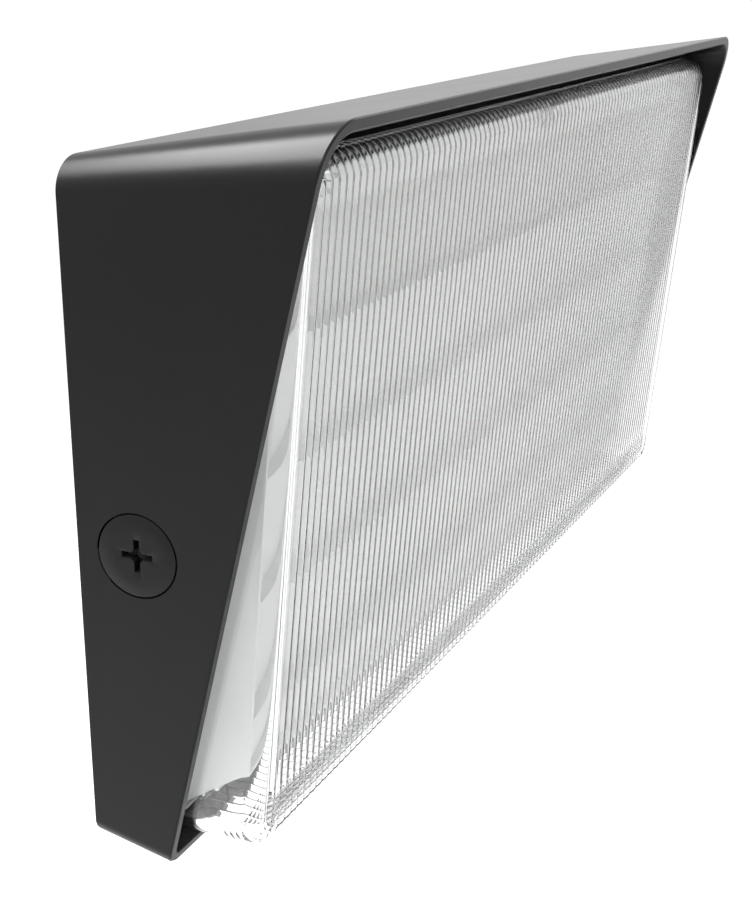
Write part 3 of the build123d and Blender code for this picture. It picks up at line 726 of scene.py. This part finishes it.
def true_corner_normals(piece):
    """Gives the roundings the normals of the cone they are cut from."""
    mesh = piece.data
    normals = [Vector(n.vector) for n in mesh.corner_normals]
    for polygon in mesh.polygons:
        for index in polygon.loop_indices:
            co = mesh.vertices[mesh.loops[index].vertex_index].co
            found = corner_place(co, True)
            if not found:
                continue
            off_x, off_z, reach = found[2:5]
            side = Vector((1 if co.x > 0 else -1, -SIDE_DRAFT, 0))
            top = Vector((0, TOP_RISE, 1))
            out = side * max(0.0, 1 - off_x / reach) + top * max(0.0, 1 - off_z / reach)
            out.normalize()
            if out.dot(polygon.normal) > 0.9:
                normals[index] = out
    mesh.normals_split_custom_set(normals)


true_corner_normals(smooth_copy("housing", "hood_casting", 28, reshape=fuller_corners))
smooth_copy("reflector", "reflector_tray", 20)


# ---- lens: clear tub, upright flutes outside, cross ribs inside along its foot ----
FACE_Y, FACE_LEAN = -52.5, 0.084
SEAT_Y, SEAT_LEAN, GASKET = -32.5, 0.194, 2.0
LENS_EDGE, LENS_WALL = 6.0, 2.4
FLUTES = 97
HALF_FLUTED = 160.0
FLUTE_DEPTH, FLUTE_POWER = 0.15, 6.0  # the power makes the grooves between the flutes narrow
TOP_BOOST = 1.0  # flutes twice as deep over the top
RIB_PITCH, RIB_DEPTH = 1.7, 0.30
RIB_BAND, RIB_REACH = 8.5, 7.0  # how far the ribs go up the front and back under the foot
WALL_RUN = 44.0  # depth over which the tub's walls lean by these amounts
LEAN_TOP, LEAN_FOOT, LEAN_SIDE = 5.3, 0.8, 4.0


def mix(a, b, t):
    return a + (b - a) * t


def ease(t):
    t = max(0.0, min(1.0, t))
    return t * t * (3 - 2 * t)


def swing(a, b, t):
    """Direction between two unit vectors, at a share of the angle between them."""
    angle = a.angle(b)
    return (a * sin((1 - t) * angle) + b * sin(t * angle)) / sin(angle)


OUT_FRONT = Vector((0, -1, -FACE_LEAN)).normalized()
OUT_TOP = Vector((0, LEAN_TOP / WALL_RUN, 1)).normalized()
OUT_FOOT = Vector((0, -LEAN_FOOT / WALL_RUN, -1)).normalized()
OUT_SIDE = {side: Vector((side, -LEAN_SIDE / WALL_RUN, 0)).normalized() for side in (-1, 1)}
CENTRE_TOP, CENTRE_FOOT = 81.66, -78.33  # centre line of the edge rounding
TURN_TOP, TURN_FOOT = 5.0, 3.0  # its corner radii
RIM_Y = SEAT_Y - GASKET * sqrt(1 + SEAT_LEAN**2)


def centre_y(z):
    return FACE_Y + LENS_EDGE * sqrt(1 + FACE_LEAN**2) - FACE_LEAN * z


def centre_half(z):
    outside = 169.0 - LEAN_SIDE * (-16.0 - centre_y(z)) / WALL_RUN
    return outside - LENS_EDGE * 1.0041


def centre_point(s, z):
    return Vector((s * centre_half(z), centre_y(z), z))


def corner_drop(s, z, turn):
    """How far a column stops short at a corner, and how far it faces up or down there."""
    off = centre_half(z) * (1 - abs(s))
    if off >= turn:
        return 0.0, 1.0
    lift = sqrt(max(0.0, turn**2 - (turn - off) ** 2))
    return turn - lift, lift / turn


def tub_shell(radius, columns, rows, bends, wall_rows):
    """Front grid, its rounding and its walls as far as the rim; radius 6 is outside, 3.6 inside.

    columns run from -1 to 1 across, rows from 0 to 1 up; bends and wall_rows are shares of the
    rounding and of the wall. Every point gets: place, direction out, across, share of flutes,
    height along the foot, share of ribs.
    """
    points, faces = [], []

    def add(*point):
        points.append(point)
        return len(points) - 1

    grid = []
    for s in columns:
        top_drop, top_share = corner_drop(s, CENTRE_TOP, TURN_TOP)
        foot_drop, foot_share = corner_drop(s, CENTRE_FOOT, TURN_FOOT)
        top, foot = CENTRE_TOP - top_drop, CENTRE_FOOT + foot_drop
        edge = ease(centre_half(0) * (1 - abs(s)) / 1.4)
        line = []
        for v in rows:
            z = mix(foot, top, v)
            height = z - CENTRE_FOOT
            rib = ease((RIB_BAND - height) / 1.2)
            spot = centre_point(s, z) + OUT_FRONT * radius
            line.append(add(spot, OUT_FRONT, s * HALF_FLUTED, edge, height, rib))
        grid.append((line, top_share, foot_share))
    for (one, *_), (two, *_) in zip(grid, grid[1:]):
        for j in range(len(rows) - 1):
            faces.append((one[j], two[j], two[j + 1], one[j + 1]))
    # the border in order: top left to right, right side down, foot right to left, left side up
    border = []
    last = len(rows) - 1
    for k, s in enumerate(columns):
        border.append((grid[k][0][last], s, "top", grid[k][1], 1.0))
    for j in range(last - 1, 0, -1):
        border.append((grid[-1][0][j], 1.0, "side", 0.0, rows[j]))
    for k in range(len(columns) - 1, -1, -1):
        border.append((grid[k][0][0], columns[k], "foot", grid[k][2], 0.0))
    for j in range(1, last):
        border.append((grid[0][0][j], -1.0, "side", 0.0, rows[j]))
    rings = [[b[0] for b in border]]
    walls, runs = [], []
    for index, s, part, share, v in border:
        side = 1 if s >= 0 else -1
        flat = sqrt(max(0.0, 1 - share * share))
        main = {"top": OUT_TOP, "foot": OUT_FOOT, "side": OUT_SIDE[side]}[part]
        wall = main if part == "side" else (OUT_SIDE[side] * flat + main * share).normalized()
        fall = {"top": -LEAN_TOP, "foot": -LEAN_FOOT, "side": mix(-LEAN_FOOT, -LEAN_TOP, v)}[part]
        walls.append((points[index][0] - OUT_FRONT * radius, wall, part, share, s))
        runs.append(Vector((LEAN_SIDE * s, WALL_RUN, fall)))
    for t in bends[1:]:
        ring = []
        for (centre, wall, part, share, s) in walls:
            out = swing(OUT_FRONT, wall, t)
            flute = (part != "side") * share**2 * (1 + TOP_BOOST * t * (part == "top"))
            rib = (part == "foot") * share**2
            along = -radius * t * OUT_FRONT.angle(wall)
            ring.append(add(centre + out * radius, out, s * HALF_FLUTED, flute, along, rib))
        rings.append(ring)
    for t in wall_rows[1:]:
        ring = []
        for (centre, wall, part, share, s), run in zip(walls, runs):
            start = centre + wall * radius
            reach = (RIM_Y - SEAT_LEAN * start.z - start.y) / (run.y + SEAT_LEAN * run.z)
            length = run.length * reach
            back = t * length
            flute = (part != "side") * share**2 * ease((1 - t) * 4)
            flute *= 1 + TOP_BOOST * (part == "top")
            rib = (part == "foot") * share**2 * ease((RIB_REACH - back) / 1.5)
            along = -radius * OUT_FRONT.angle(wall) - back
            ring.append(add(start + run * (reach * t), wall, s * HALF_FLUTED, flute, along, rib))
        rings.append(ring)
    for one, two in zip(rings, rings[1:]):
        count = len(one)
        for k in range(count):
            n = (k + 1) % count
            faces.append((one[k], one[n], two[n], two[k]))
    return points, faces, rings[-1], len(columns), len(rows)


def make_lens_body():
    # columns: close together at the grooves between the flutes, and where the corners turn
    phases = (0.0, 0.03, 0.07, 0.12, 0.19, 0.32, 0.5, 0.68, 0.81, 0.88, 0.93, 0.97)
    outer = {round(-1 + 2 * (k + p) / FLUTES, 7) for k in range(FLUTES) for p in phases}
    outer |= {-1.0, 1.0}
    for off in (0.04, 0.12, 0.3):
        outer |= {1 - off / 160, -1 + off / 160}
    outer = sorted(outer)
    side_rows = [0.0, 0.04, 0.1, 0.3, 0.5, 0.7, 0.9, 0.96, 1.0]
    bends = [k / 9 for k in range(10)]
    shell = tub_shell(LENS_EDGE, outer, side_rows, bends, [0, 0.1, 0.35, 0.6, 0.8, 0.9, 1])

    near_side = (0.04, 0.15, 0.4, 0.8, 1.4, 2.2, 3.2, 4.2, 5.2)
    inner = {round(-1 + 2 * k / 24, 6) for k in range(25)}
    inner = sorted(inner | {sign * (1 - off / 160) for sign in (-1, 1) for off in near_side})
    height = CENTRE_TOP - CENTRE_FOOT
    fine = RIB_PITCH / 7
    inner_rows = [k * fine / height for k in range(int(RIB_BAND / fine) + 2)]
    inner_rows += [0.12, 0.3, 0.5, 0.7, 0.9, 0.96, 1.0]
    inner_bends = [k / 21 for k in range(22)]
    wall_rows = [k * fine / 18.0 for k in range(int(RIB_REACH / fine) + 1)] + [0.6, 0.8, 1.0]
    lining = tub_shell(LENS_EDGE - LENS_WALL, inner, inner_rows, inner_bends, wall_rows)

    points, faces = list(shell[0]), list(shell[1])
    shift = len(points)
    for spot, out, across, _, along, rib in lining[0]:
        points.append((spot, -out, across, 0.0, along, rib))
    faces += [tuple(reversed([i + shift for i in face])) for face in lining[1]]
    # the rim between the two shells: one face each for top, right, foot and left
    def rim_runs(rim, across, up):
        marks = (0, across - 1, across + up - 2, 2 * across + up - 3, len(rim))
        return [(rim + rim[:1])[a : b + 1] for a, b in zip(marks, marks[1:])]

    rims = (rim_runs(*shell[2:]), rim_runs([i + shift for i in lining[2]], *lining[3:]))
    faces += [tuple(o_run) + tuple(reversed(i_run)) for o_run, i_run in zip(*rims)]

    mesh = plain_mesh("fluted_lens", [p[0] for p in points], faces)
    outs = mesh.attributes.new("out", "FLOAT_VECTOR", "POINT")
    outs.data.foreach_set("vector", [c for p in points for c in p[1]])
    for label, column in (("across", 2), ("flute_share", 3), ("along", 4), ("rib_share", 5)):
        values = mesh.attributes.new(label, "FLOAT", "POINT")
        values.data.foreach_set("value", [float(p[column]) for p in points])
    piece = run_recipe(
        add_object("fluted_lens", mesh),
        build_flutes(),
        {
            "Flute Pitch": 2 * HALF_FLUTED / FLUTES,
            "Flute Start": HALF_FLUTED,
            "Flute Depth": FLUTE_DEPTH * MM,
            "Roundness": FLUTE_POWER,
            "Rib Pitch": RIB_PITCH,
            "Rib Depth": RIB_DEPTH * MM,
            "Finish": FINISH["lens_clear"],
        },
    )
    shade(piece.data, 24)
    return hang(piece, "lens")


def build_flutes():
    """Sinks the outside between the flutes and raises the ribs inside, by each point's shares."""
    recipe = Recipe(
        "lens_flutes_and_ribs",
        [
            ("Flute Pitch", FLOAT, 3.3),
            ("Flute Start", FLOAT, 160.0),
            ("Flute Depth", FLOAT, 0.0003),
            ("Roundness", FLOAT, 2.0),
            ("Rib Pitch", FLOAT, 1.7),
            ("Rib Depth", FLOAT, 0.0003),
            ("Finish", MATERIAL, None),
        ],
    )
    given, steps = recipe.given, recipe.sum

    def off_centre(share):
        """0 in the middle of a pitch and 1 at its ends."""
        doubled = steps("MULTIPLY", steps("FRACT", share), 2.0)
        return steps("ABSOLUTE", steps("SUBTRACT", doubled, 1.0))

    from_start = steps("ADD", recipe.stored("across"), given["Flute Start"])
    centred = off_centre(steps("DIVIDE", from_start, given["Flute Pitch"]))
    dip = steps("MULTIPLY", steps("POWER", centred, given["Roundness"]), given["Flute Depth"])
    sunk = steps("MULTIPLY", dip, recipe.stored("flute_share"))
    along = steps("DIVIDE", recipe.stored("along"), given["Rib Pitch"])
    crest = off_centre(steps("ADD", along, 40.0))
    hump = steps("POWER", steps("SUBTRACT", 1.0, steps("POWER", crest, 2.0)), 3.0)
    rib = steps("MULTIPLY", hump, given["Rib Depth"])
    raised = steps("MULTIPLY", rib, recipe.stored("rib_share"))
    way = {0: recipe.stored("out", "FLOAT_VECTOR"), "Scale": steps("SUBTRACT", raised, sunk)}
    offset = recipe.node("ShaderNodeVectorMath", way, operation="SCALE")
    links = {"Geometry": given["Geometry"], "Offset": offset.outputs[0]}
    return recipe.close(recipe.node("GeometryNodeSetPosition", links).outputs[0])


make_lens_body()


# ---- white insert of the reflector: four leaning panels between end walls, before the tray ----
def prism(outline, x0, x1, flare=None):
    """Solid between two planes across X; outline is (y, z) pairs, flare the far corners' x."""
    count = len(outline)
    far = flare or [x1] * count
    points = [(x0, y, z) for y, z in outline]
    points += [(x, y, z) for x, (y, z) in zip(far, outline)]
    faces = [tuple(range(count)), tuple(reversed(range(count, 2 * count)))]
    faces += [(k, (k + 1) % count, (k + 1) % count + count, k + count) for k in range(count)]
    return points, faces


def make_reflector_insert():
    step, pitch, sunk, half = 43.6, 32.6, 7.0, 152.0  # first ledge, panel height, ledge, half width

    def front(z):
        return -40.0 - 0.08 * z

    line = [(-28.2, 71.2), (front(step) + sunk, step)]
    for k in range(4):
        z = step - k * pitch
        low = max(z - pitch, -69.6)
        line += [(front(z), z), (front(low) + sunk * (z - low) / pitch, low)]
    back = [(y + 1.1, z - 0.5) for y, z in line]
    blocks = [prism(line + back[::-1], -half, half)]
    wall = [(front(71.4), 71.4), (-27.8, 71.4), (-35.4, step), (-18.2, -80.4), (front(-70.2), -70.2)]
    for side, _ in SIDES:
        flare = [side * x for x in (153.3, 153.4, 156.4, 157.2, 153.3)]
        blocks.append(prism(wall, side * (half - 0.2), 0, flare))
    foot = [(front(-69.4), -69.4), (-18.6, -69.4), (-18.2, -73.6), (front(-69.4), -70.7)]
    blocks.append(prism(foot, -153.0, 153.0))
    points, faces = [], []
    for some, those in blocks:
        shift = len(points)
        points += some
        faces += [tuple(i + shift for i in face) for face in those]
    piece = new_piece("reflector_insert", points, faces, "reflector", 20)
    ease_edges(piece, 0.28, 30)
    shade(piece.data, 30)
    hang(piece, "reflector", stands_for=False)


make_reflector_insert()

# ---- screws, plugs and rings ----
BRACKET_TOP, DRIVER_FLOOR, CLOSER_UNDER = 80.5, -15.2, -87.9
BOARD_UNDER, BOARD_MIDDLE, BOARD_PITCH = 72.9, 75.5, 148 / 18
DOWN = (0, 0, -1)


def cross_cutter(name, arm, width, depth, top, taper=0.62):
    """Cross recess tool: a cross outline that narrows from a height down."""
    points, faces = [], []
    low = (top - depth, arm * taper, width * (0.4 + 0.6 * taper))
    for z, far, wide in ((top + 0.4, arm, width), (top, arm, width), low):
        quarter = ((wide / 2, -wide / 2), (far / 2, -wide / 2), (far / 2, wide / 2))
        for k in range(4):
            turn = Matrix.Rotation(k * pi / 2, 3, "Z")
            points += [turn @ Vector((x, y, z)) for x, y in quarter]
    for level in (0, 12):
        for k in range(12):
            a, b = level + k, level + (k + 1) % 12
            faces.append((a, b, b + 12, a + 12))
    faces += [tuple(range(11, -1, -1)), tuple(range(24, 36))]
    return pattern_piece(name, points, faces)


def cut(piece, tool):
    """Takes the tool's shape out of a piece."""
    trim = piece.modifiers.new("recess", "BOOLEAN")
    trim.operation, trim.solver, trim.object = "DIFFERENCE", "EXACT", tool
    bake(piece)
    bpy.data.objects.remove(tool)


def threaded(root, crest, pitch, low, high):
    """Radius of a helical thread between two heights, running out at both ends."""
    def radius(r, height, angle):
        if r < root * 0.97 or not low <= height <= high:
            return r
        turn = (height / pitch - angle / (2 * pi)) % 1.0
        tooth = max(0.0, 1 - abs(2 * turn - 1) * 1.25)
        run_out = min(1.0, (height - low) / pitch, (high - height) / pitch)
        return root + (crest - root) * min(1.0, tooth * 1.3) * run_out
    return radius


def screw_shape(name, head_r, head_h, shank_r, shank_l):
    """Pan head screw with a cross recess, along Z, under its head at 0."""
    pitch, core = shank_r * 0.42, shank_r * 0.82
    rows = max(8, int(shank_l / pitch * 4))
    low, high = -shank_l + 0.5, -0.35
    line = [(0, -shank_l), (shank_r * 0.55, -shank_l), (core, -shank_l + 0.45)]
    line += [(core, low + (high - low) * k / rows) for k in range(rows + 1)]
    line += [(core, 0.02), (head_r - 0.12, 0.0), (head_r, 0.14), (head_r, head_h * 0.42)]
    dome = (0.35, 0.7, 1.05, 1.35)
    line += [(head_r * cos(a) ** 0.6, head_h * (0.42 + 0.58 * sin(a))) for a in dome]
    line += [(0, head_h)]
    thread = threaded(shank_r * 0.80, shank_r * 0.98, pitch, low, high)
    piece = pattern_piece(name, *lathe(line, 24, shape=thread))
    tool = cross_cutter(name + "_tool", head_r * 1.15, head_r * 0.24, head_h * 0.72, head_h)
    cut(piece, tool)
    return piece


LEDGE_OUT = Vector((0, -1, -SEAT_LEAN)).normalized()
LEDGE_UP = Vector((0, -SEAT_LEAN, 1)).normalized()


def on_ledge(x, z, proud):
    """Point measured on the leaning ledge and then out along its normal."""
    return Vector((x, SEAT_Y, 0)) + LEDGE_UP * z + LEDGE_OUT * proud


# piece, CAD node, places, way that the head faces, head radius and height, shank radius and length
SCREWS = [
    ("lens_screw_set", "lens_screws",
     [on_ledge(x, z, 4.2) for x in (-146, 0, 146) for z in (83.5, -80.3)], LEDGE_OUT,
     (2.75, 1.6, 1.5, 6.4)),
    ("reflector_screw_set", "reflector_screws",
     [on_ledge(x, z, 1.2) for x in (-160.6, 160.6) for z in (46, -46)], LEDGE_OUT,
     (2.35, 1.5, 1.25, 3.9)),
    ("bracket_screw_set", "bracket_screws",
     [(x, -21, BRACKET_TOP - 2) for x in (-110, 0, 110)], DOWN, (3.1, 2.1, 1.5, 5.9)),
    ("board_screw_set", "led_board_screws",
     [(side * BOARD_MIDDLE + x, -33.5, BOARD_UNDER) for side, _ in SIDES for x in (-66, 66)], DOWN,
     (2.3, 1.3, 1.25, 3.9)),
    ("driver_screw_set", "driver_screws",
     [(x, DRIVER_FLOOR, 36) for x in (-80, 80)], (0, -1, 0), (2.9, 1.9, 1.5, 3.9)),
    ("ground_screw_made", "ground_screw", [(31.2, -5.0, -48)], (1, 0, 0), (3.2, 2.3, 1.95, 5.9)),
]
WASHER = [(2.5, 0.75), (2.15, 0.75), (2.15, 0.0), (2.9, 0.0), (2.9, 0.75), (2.5, 0.75)]


def set_screws(name, node, places, way, sizes):
    """Screws of one node, made once and set on their points."""
    shape = screw_shape(name + "_shape", *sizes)
    repeat(name, shape, [(spot, way) for spot in places], node, turns=24, seed=len(name))


def make_ring(name, node, corners, radius, steps, sides, centre, axis, angle):
    """Ring of a closed (radius, height) outline whose corners are rounded."""
    points, faces = lathe(rounded_profile(corners, radius, steps), sides, centre, axis)
    hang(new_piece(name, points, faces, node, angle), node)


def make_plug(side, word):
    """Closure plug: flat head with an eased rim, neck, pipe thread and a hollow end."""
    out = Vector((side * 0.99761, -0.06907, 0)).normalized()
    face = Vector((side * 173.39, -18.5, -5.4))
    low, high, rows = -9.6, -3.0, 44
    profile = [(0, -4.6), (7.1, -4.6), (7.1, -9.7), (7.5, -10.0), (9.3, -10.0)]
    profile += [(9.6, low + (high - low) * k / rows) for k in range(rows + 1)]
    profile += [(9.3, -2.8), (9.3, -1.42), (10.16, -1.4), (10.3, -1.26), (10.3, -0.22)]
    profile += [(10.24, -0.07), (10.08, 0.0), (6.4, 0.0), (2.4, 0.0), (0, 0.0)]
    thread = threaded(9.45, 10.38, 1.81, low, high)
    piece = pattern_piece(f"{word}_closure_plug", *lathe(profile, 96, shape=thread))
    cut(piece, cross_cutter("plug_tool", 8.2, 1.6, 2.2, 0.0, 0.92))
    pit = lathe([(0, -2.9), (1.5, -2.5), (1.7, 0.5), (0, 0.5)], 24)
    cut(piece, pattern_piece("plug_pit", *pit))
    ease_edges(piece, 0.09, 70)
    turn = out.to_track_quat("Z", "Y")
    for vertex in piece.data.vertices:
        vertex.co = face * MM + turn @ vertex.co
    piece.data.materials.clear()
    piece.data.materials.append(FINISH[SLOT[f"{word}_plug"]])
    shade(piece.data, 32)
    hang(piece, f"{word}_plug")
    seal = [(9.97, -1.5), (9.5, -1.5), (9.5, -2.7), (10.44, -2.7), (10.44, -1.5), (9.97, -1.5)]
    make_ring(f"{word}_plug_ring", f"{word}_plug_seal", seal, 0.4, 5, 72, face, out, 40)


for row in SCREWS:
    set_screws(*row)
for side, word in SIDES:
    under = (side * 60, -6, CLOSER_UNDER)
    closer, seal = f"{word}_closing_screw", f"{word}_screw_seal"
    set_screws(closer + "_made", closer, [under], DOWN, (2.95, 2.0, 2.0, 10.6))
    make_ring(f"{word}_screw_ring", seal, WASHER, 0.25, 3, 40, under, (0, 0, 1), 35)
for side, word in SIDES:
    make_plug(side, word)


# ---- light sources ----
def soft_block(width, height, corner):
    """Points and faces of a small square block with rounded corners and an eased top."""
    points, faces = [], []
    for z, inset in ((0, 0), (height * 0.8, 0), (height, corner * 0.35)):
        for a, b, start in ((1, 1, 0), (-1, 1, 90), (-1, -1, 180), (1, -1, 270)):
            for k in range(4):
                t = radians(start + 30 * k)
                middle, r = width / 2 - corner, corner - inset
                points.append((a * middle + r * cos(t), b * middle + r * sin(t), z))
    for ring in (0, 16):
        for k in range(16):
            a, b = ring + k, ring + (k + 1) % 16
            faces.append((a, b, b + 16, a + 16))
    faces += [tuple(reversed(range(16))), tuple(range(32, 48))]
    return points, faces


LED_SPOTS = [
    ((side * BOARD_MIDDLE + (k - 8.5) * BOARD_PITCH, -39.5, BOARD_UNDER), DOWN)
    for side, _ in SIDES
    for k in range(18)
]
package = pattern_piece("led_package_shape", *soft_block(3.0, 0.5, 0.35))
repeat("led_packages", package, LED_SPOTS, "led_boards", stands_for=False)
cap = [(0, 0.2), (1.25, 0.2), (1.25, 0.5), (1.1, 0.6), (0.7, 0.67), (0, 0.7)]
dome = pattern_piece("led_dome_shape", *lathe(cap, 20))
repeat("led_domes", dome, LED_SPOTS, "led_emitters", smooth=60)


# ---- leads, along their own routes ----
def build_lead():
    """Round lead along a line of points with bends of one radius."""
    recipe = Recipe(
        "lead_along_route",
        [
            ("Finish", MATERIAL, None),
            ("Radius", FLOAT, 0.0015),
            ("Bend", FLOAT, 0.006),
            ("Bend Steps", WHOLE, 10),
            ("Sides", WHOLE, 20),
        ],
    )
    node, given = recipe.node, recipe.given
    line = node("GeometryNodeMeshToCurve", {"Mesh": given["Geometry"]})
    bend = {"Curve": line.outputs[0], "Count": given["Bend Steps"], "Radius": given["Bend"]}
    bent = node("GeometryNodeFilletCurve", {**bend, "Limit Radius": True}, mode="POLY")
    ring = {"Resolution": given["Sides"], "Radius": given["Radius"]}
    round_ = node("GeometryNodeCurvePrimitiveCircle", ring, mode="RADIUS")
    links = {"Curve": bent.outputs[0], "Profile Curve": round_.outputs[0], "Fill Caps": True}
    return recipe.close(node("GeometryNodeCurveToMesh", links).outputs[0])


LEAD = build_lead()


def run_lead(name, node, points, bend, radius):
    edges = [(k, k + 1) for k in range(len(points) - 1)]
    values = {
        "Finish": FINISH[SLOT[node]],
        "Radius": radius * MM,
        "Bend": bend * MM,
        "Bend Steps": 10,
        "Sides": 20,
    }
    piece = run_recipe(add_object(name, plain_mesh(name, points, edges=edges)), LEAD, values)
    weld(piece.data)
    shade(piece.data, 40)
    hang(piece, node)


run_lead("supply_lead_run", "supply_lead", [(0, -5, 0), (0, -20, 0), (100, -20, 0)], 6, 1.45)
driver_route = [(115, -18, 7.7), (115, -18, 27), (75, -18, 27)]
run_lead("driver_lead_run", "driver_lead", driver_route, 9, 1.45)
led_route = [(75, -21, 50), (97, -21, 50), (97, -21, 73.6), (97, -31.4, 73.6)]
run_lead("led_lead_run", "led_lead", led_route, 5, 0.78)

# ---- mounting side and inside ----
GROMMET = [
    (1.5, 7.45), (8.2, 7.45), (8.7, 7.9), (8.7, 9.0), (8.2, 9.4), (6.85, 9.5), (6.85, 12.0),
    (8.2, 12.1), (8.7, 12.6), (8.4, 13.4), (7.4, 13.95), (1.5, 13.95), (1.5, 7.45),
]
points, faces = lathe(GROMMET, 64, axis=(0, -1, 0))
hang(new_piece("supply_grommet", points, faces, "rear_grommet", 40), "rear_grommet")
for node, name, edge in (
    ("wall_plate", "mounting_plate", 0.12),
    ("wall_gasket", "supply_hole_foam", 0.5),
    ("wall_pads", "wall_foam_strips", 0.5),
    ("lens_gasket", "lens_seal", 0.35),
    ("led_bracket", "board_bracket", 0.15),
    ("led_boards", "metal_core_boards", 0.10),
    ("driver_base", "driver_can", 0.20),
    ("driver_lid", "driver_cover", 0.20),
    ("driver_board", "driver_circuit", 0.18),
    ("terminal_block", "supply_terminals", 0.35),
    ("surge_module", "surge_guard", 0.60),
):
    smooth_copy(node, name, 25, edge)


def tab_outline(x, z, wall):
    """A tab's edge from the lens's wall round its bore, and the bore."""
    away = -1 if z > 0 else 1
    turns = [radians(11.25 * k) for k in range(17)]
    line = [(x - 5.5 * cos(t), z + away * 4.6 * sin(t)) for t in turns]
    bore = [(x + 1.8 * cos(2 * pi * k / 24), z + 1.8 * sin(2 * pi * k / 24)) for k in range(24)]
    return [(x - 5.5, wall)] + line + [(x + 5.5, wall)], bore


def make_lens_lugs():
    """Six screw tabs inside the long edges of the lens, at its rim."""
    points, faces = [], []
    for x in (-146, 0, 146):
        for z, wall in ((83.5, 86.6), (-80.3, -83.2)):
            flat = bmesh.new()
            rings = [
                [flat.verts.new((a, b, 0)) for a, b in line] for line in tab_outline(x, z, wall)
            ]
            pairs = [pair for ring in rings for pair in zip(ring, ring[1:] + ring[:1])]
            edges = [flat.edges.new(pair) for pair in pairs]
            bmesh.ops.triangle_fill(flat, edges=edges, use_beauty=True)
            sheet = bmesh.ops.extrude_face_region(flat, geom=flat.faces[:])
            for item in sheet["geom"]:
                if isinstance(item, bmesh.types.BMVert):
                    item.co.z = 2.2
            flat.verts.index_update()
            shift = len(points)
            points += [on_ledge(v.co.x, v.co.y, 2.0 + v.co.z) for v in flat.verts]
            faces += [tuple(shift + v.index for v in face.verts) for face in flat.faces]
            flat.free()
    hang(new_piece("lens_screw_tabs", points, faces, "lens", 30), "lens", stands_for=False)


make_lens_lugs()

# ---- floor and light ----
GLOW_NEAR, GLOW_FAR = 0.32, 0.62
WORLD_LIGHT, WORLD_SEEN = 0.45, 1.0


def light_path_share(tree):
    """1 for what the camera sees straight, in a gloss or through the lens; 0 for other light."""
    path = place(tree, "ShaderNodeLightPath").outputs
    seen = maths(tree, "MAXIMUM", path["Is Camera Ray"], path["Is Glossy Ray"])
    return maths(tree, "MAXIMUM", seen, path["Is Transmission Ray"])


def make_floor():
    size, z = 24.0 / MM, -0.6 / MM
    corners = [(-size, -size, z), (size, -size, z), (size, size, z), (-size, size, z)]
    floor = add_object("studio_floor", plain_mesh("studio_floor", corners, [(0, 1, 2, 3)]))
    finish, tree, bsdf = new_finish("pale_floor")
    # the lamps reach the middle of the floor only, so its edge glows more
    away = place(tree, "ShaderNodeVectorMath", {0: place_at(tree)}, operation="LENGTH")
    inputs = {"Value": away.outputs["Value"], "From Min": 0.3, "From Max": 4.0}
    inputs |= {"To Min": GLOW_NEAR, "To Max": GLOW_FAR}
    glow = place(tree, "ShaderNodeMapRange", inputs, interpolation_type="SMOOTHSTEP").outputs[0]
    inputs = {
        "Base Color": (0.9, 0.9, 0.9),
        "Roughness": 0.95,
        "Specular IOR Level": 0.0,
        "Emission Color": (1, 1, 1),
        "Emission Strength": maths(tree, "MULTIPLY", light_path_share(tree), glow),
    }
    for key, value in inputs.items():
        give(tree, value, bsdf.inputs[key])
    floor.data.materials.append(finish)


def make_world():
    world = bpy.data.worlds.new("studio")
    scene.world = world
    world.use_nodes = True
    tree = world.node_tree
    background = tree.nodes["Background"]
    background.inputs["Color"].default_value = (1, 1, 1, 1)
    strength = spread(tree, light_path_share(tree), WORLD_LIGHT, WORLD_SEEN)
    join(tree, strength, background.inputs["Strength"])


def soft_box(name, direction, distance, size, height, radiance, along=None):
    """Rectangular lamp seen from the light in a direction; its brightness is per area.

    along turns its long side to an axis; without it the long side lies level.
    """
    data = bpy.data.lights.new(name, "AREA")
    data.shape = "RECTANGLE"
    data.size, data.size_y = size, height
    data.energy = radiance * pi * size * height
    lamp = bpy.data.objects.new(name, data)
    way = Vector(direction).normalized()
    lamp.location = Vector((0, -0.03, 0)) + way * distance
    turn = way.to_track_quat("Z", "Y").to_matrix()
    if along:
        length = (Vector(along) - way * way.dot(Vector(along))).normalized()
        turn = Matrix((length, way.cross(length), way)).transposed()
    lamp.rotation_euler = turn.to_euler()
    scene.collection.objects.link(lamp)


make_floor()
make_world()
soft_box("overhead_box", (-0.33, 0.51, 0.79), 1.4, 1.15, 0.34, 28.0, along=(1, 0, 0))
soft_box("far_box", (0.85, 0.29, 0.45), 1.8, 1.0, 0.8, 1.0)
soft_box("front_box", (-0.35, -0.88, 0.30), 2.4, 1.3, 1.3, 1.8)
soft_box("side_strip", (-0.80, 0.05, 0.60), 1.8, 1.4, 0.30, 8.0)

scene.view_settings.view_transform = "Standard"
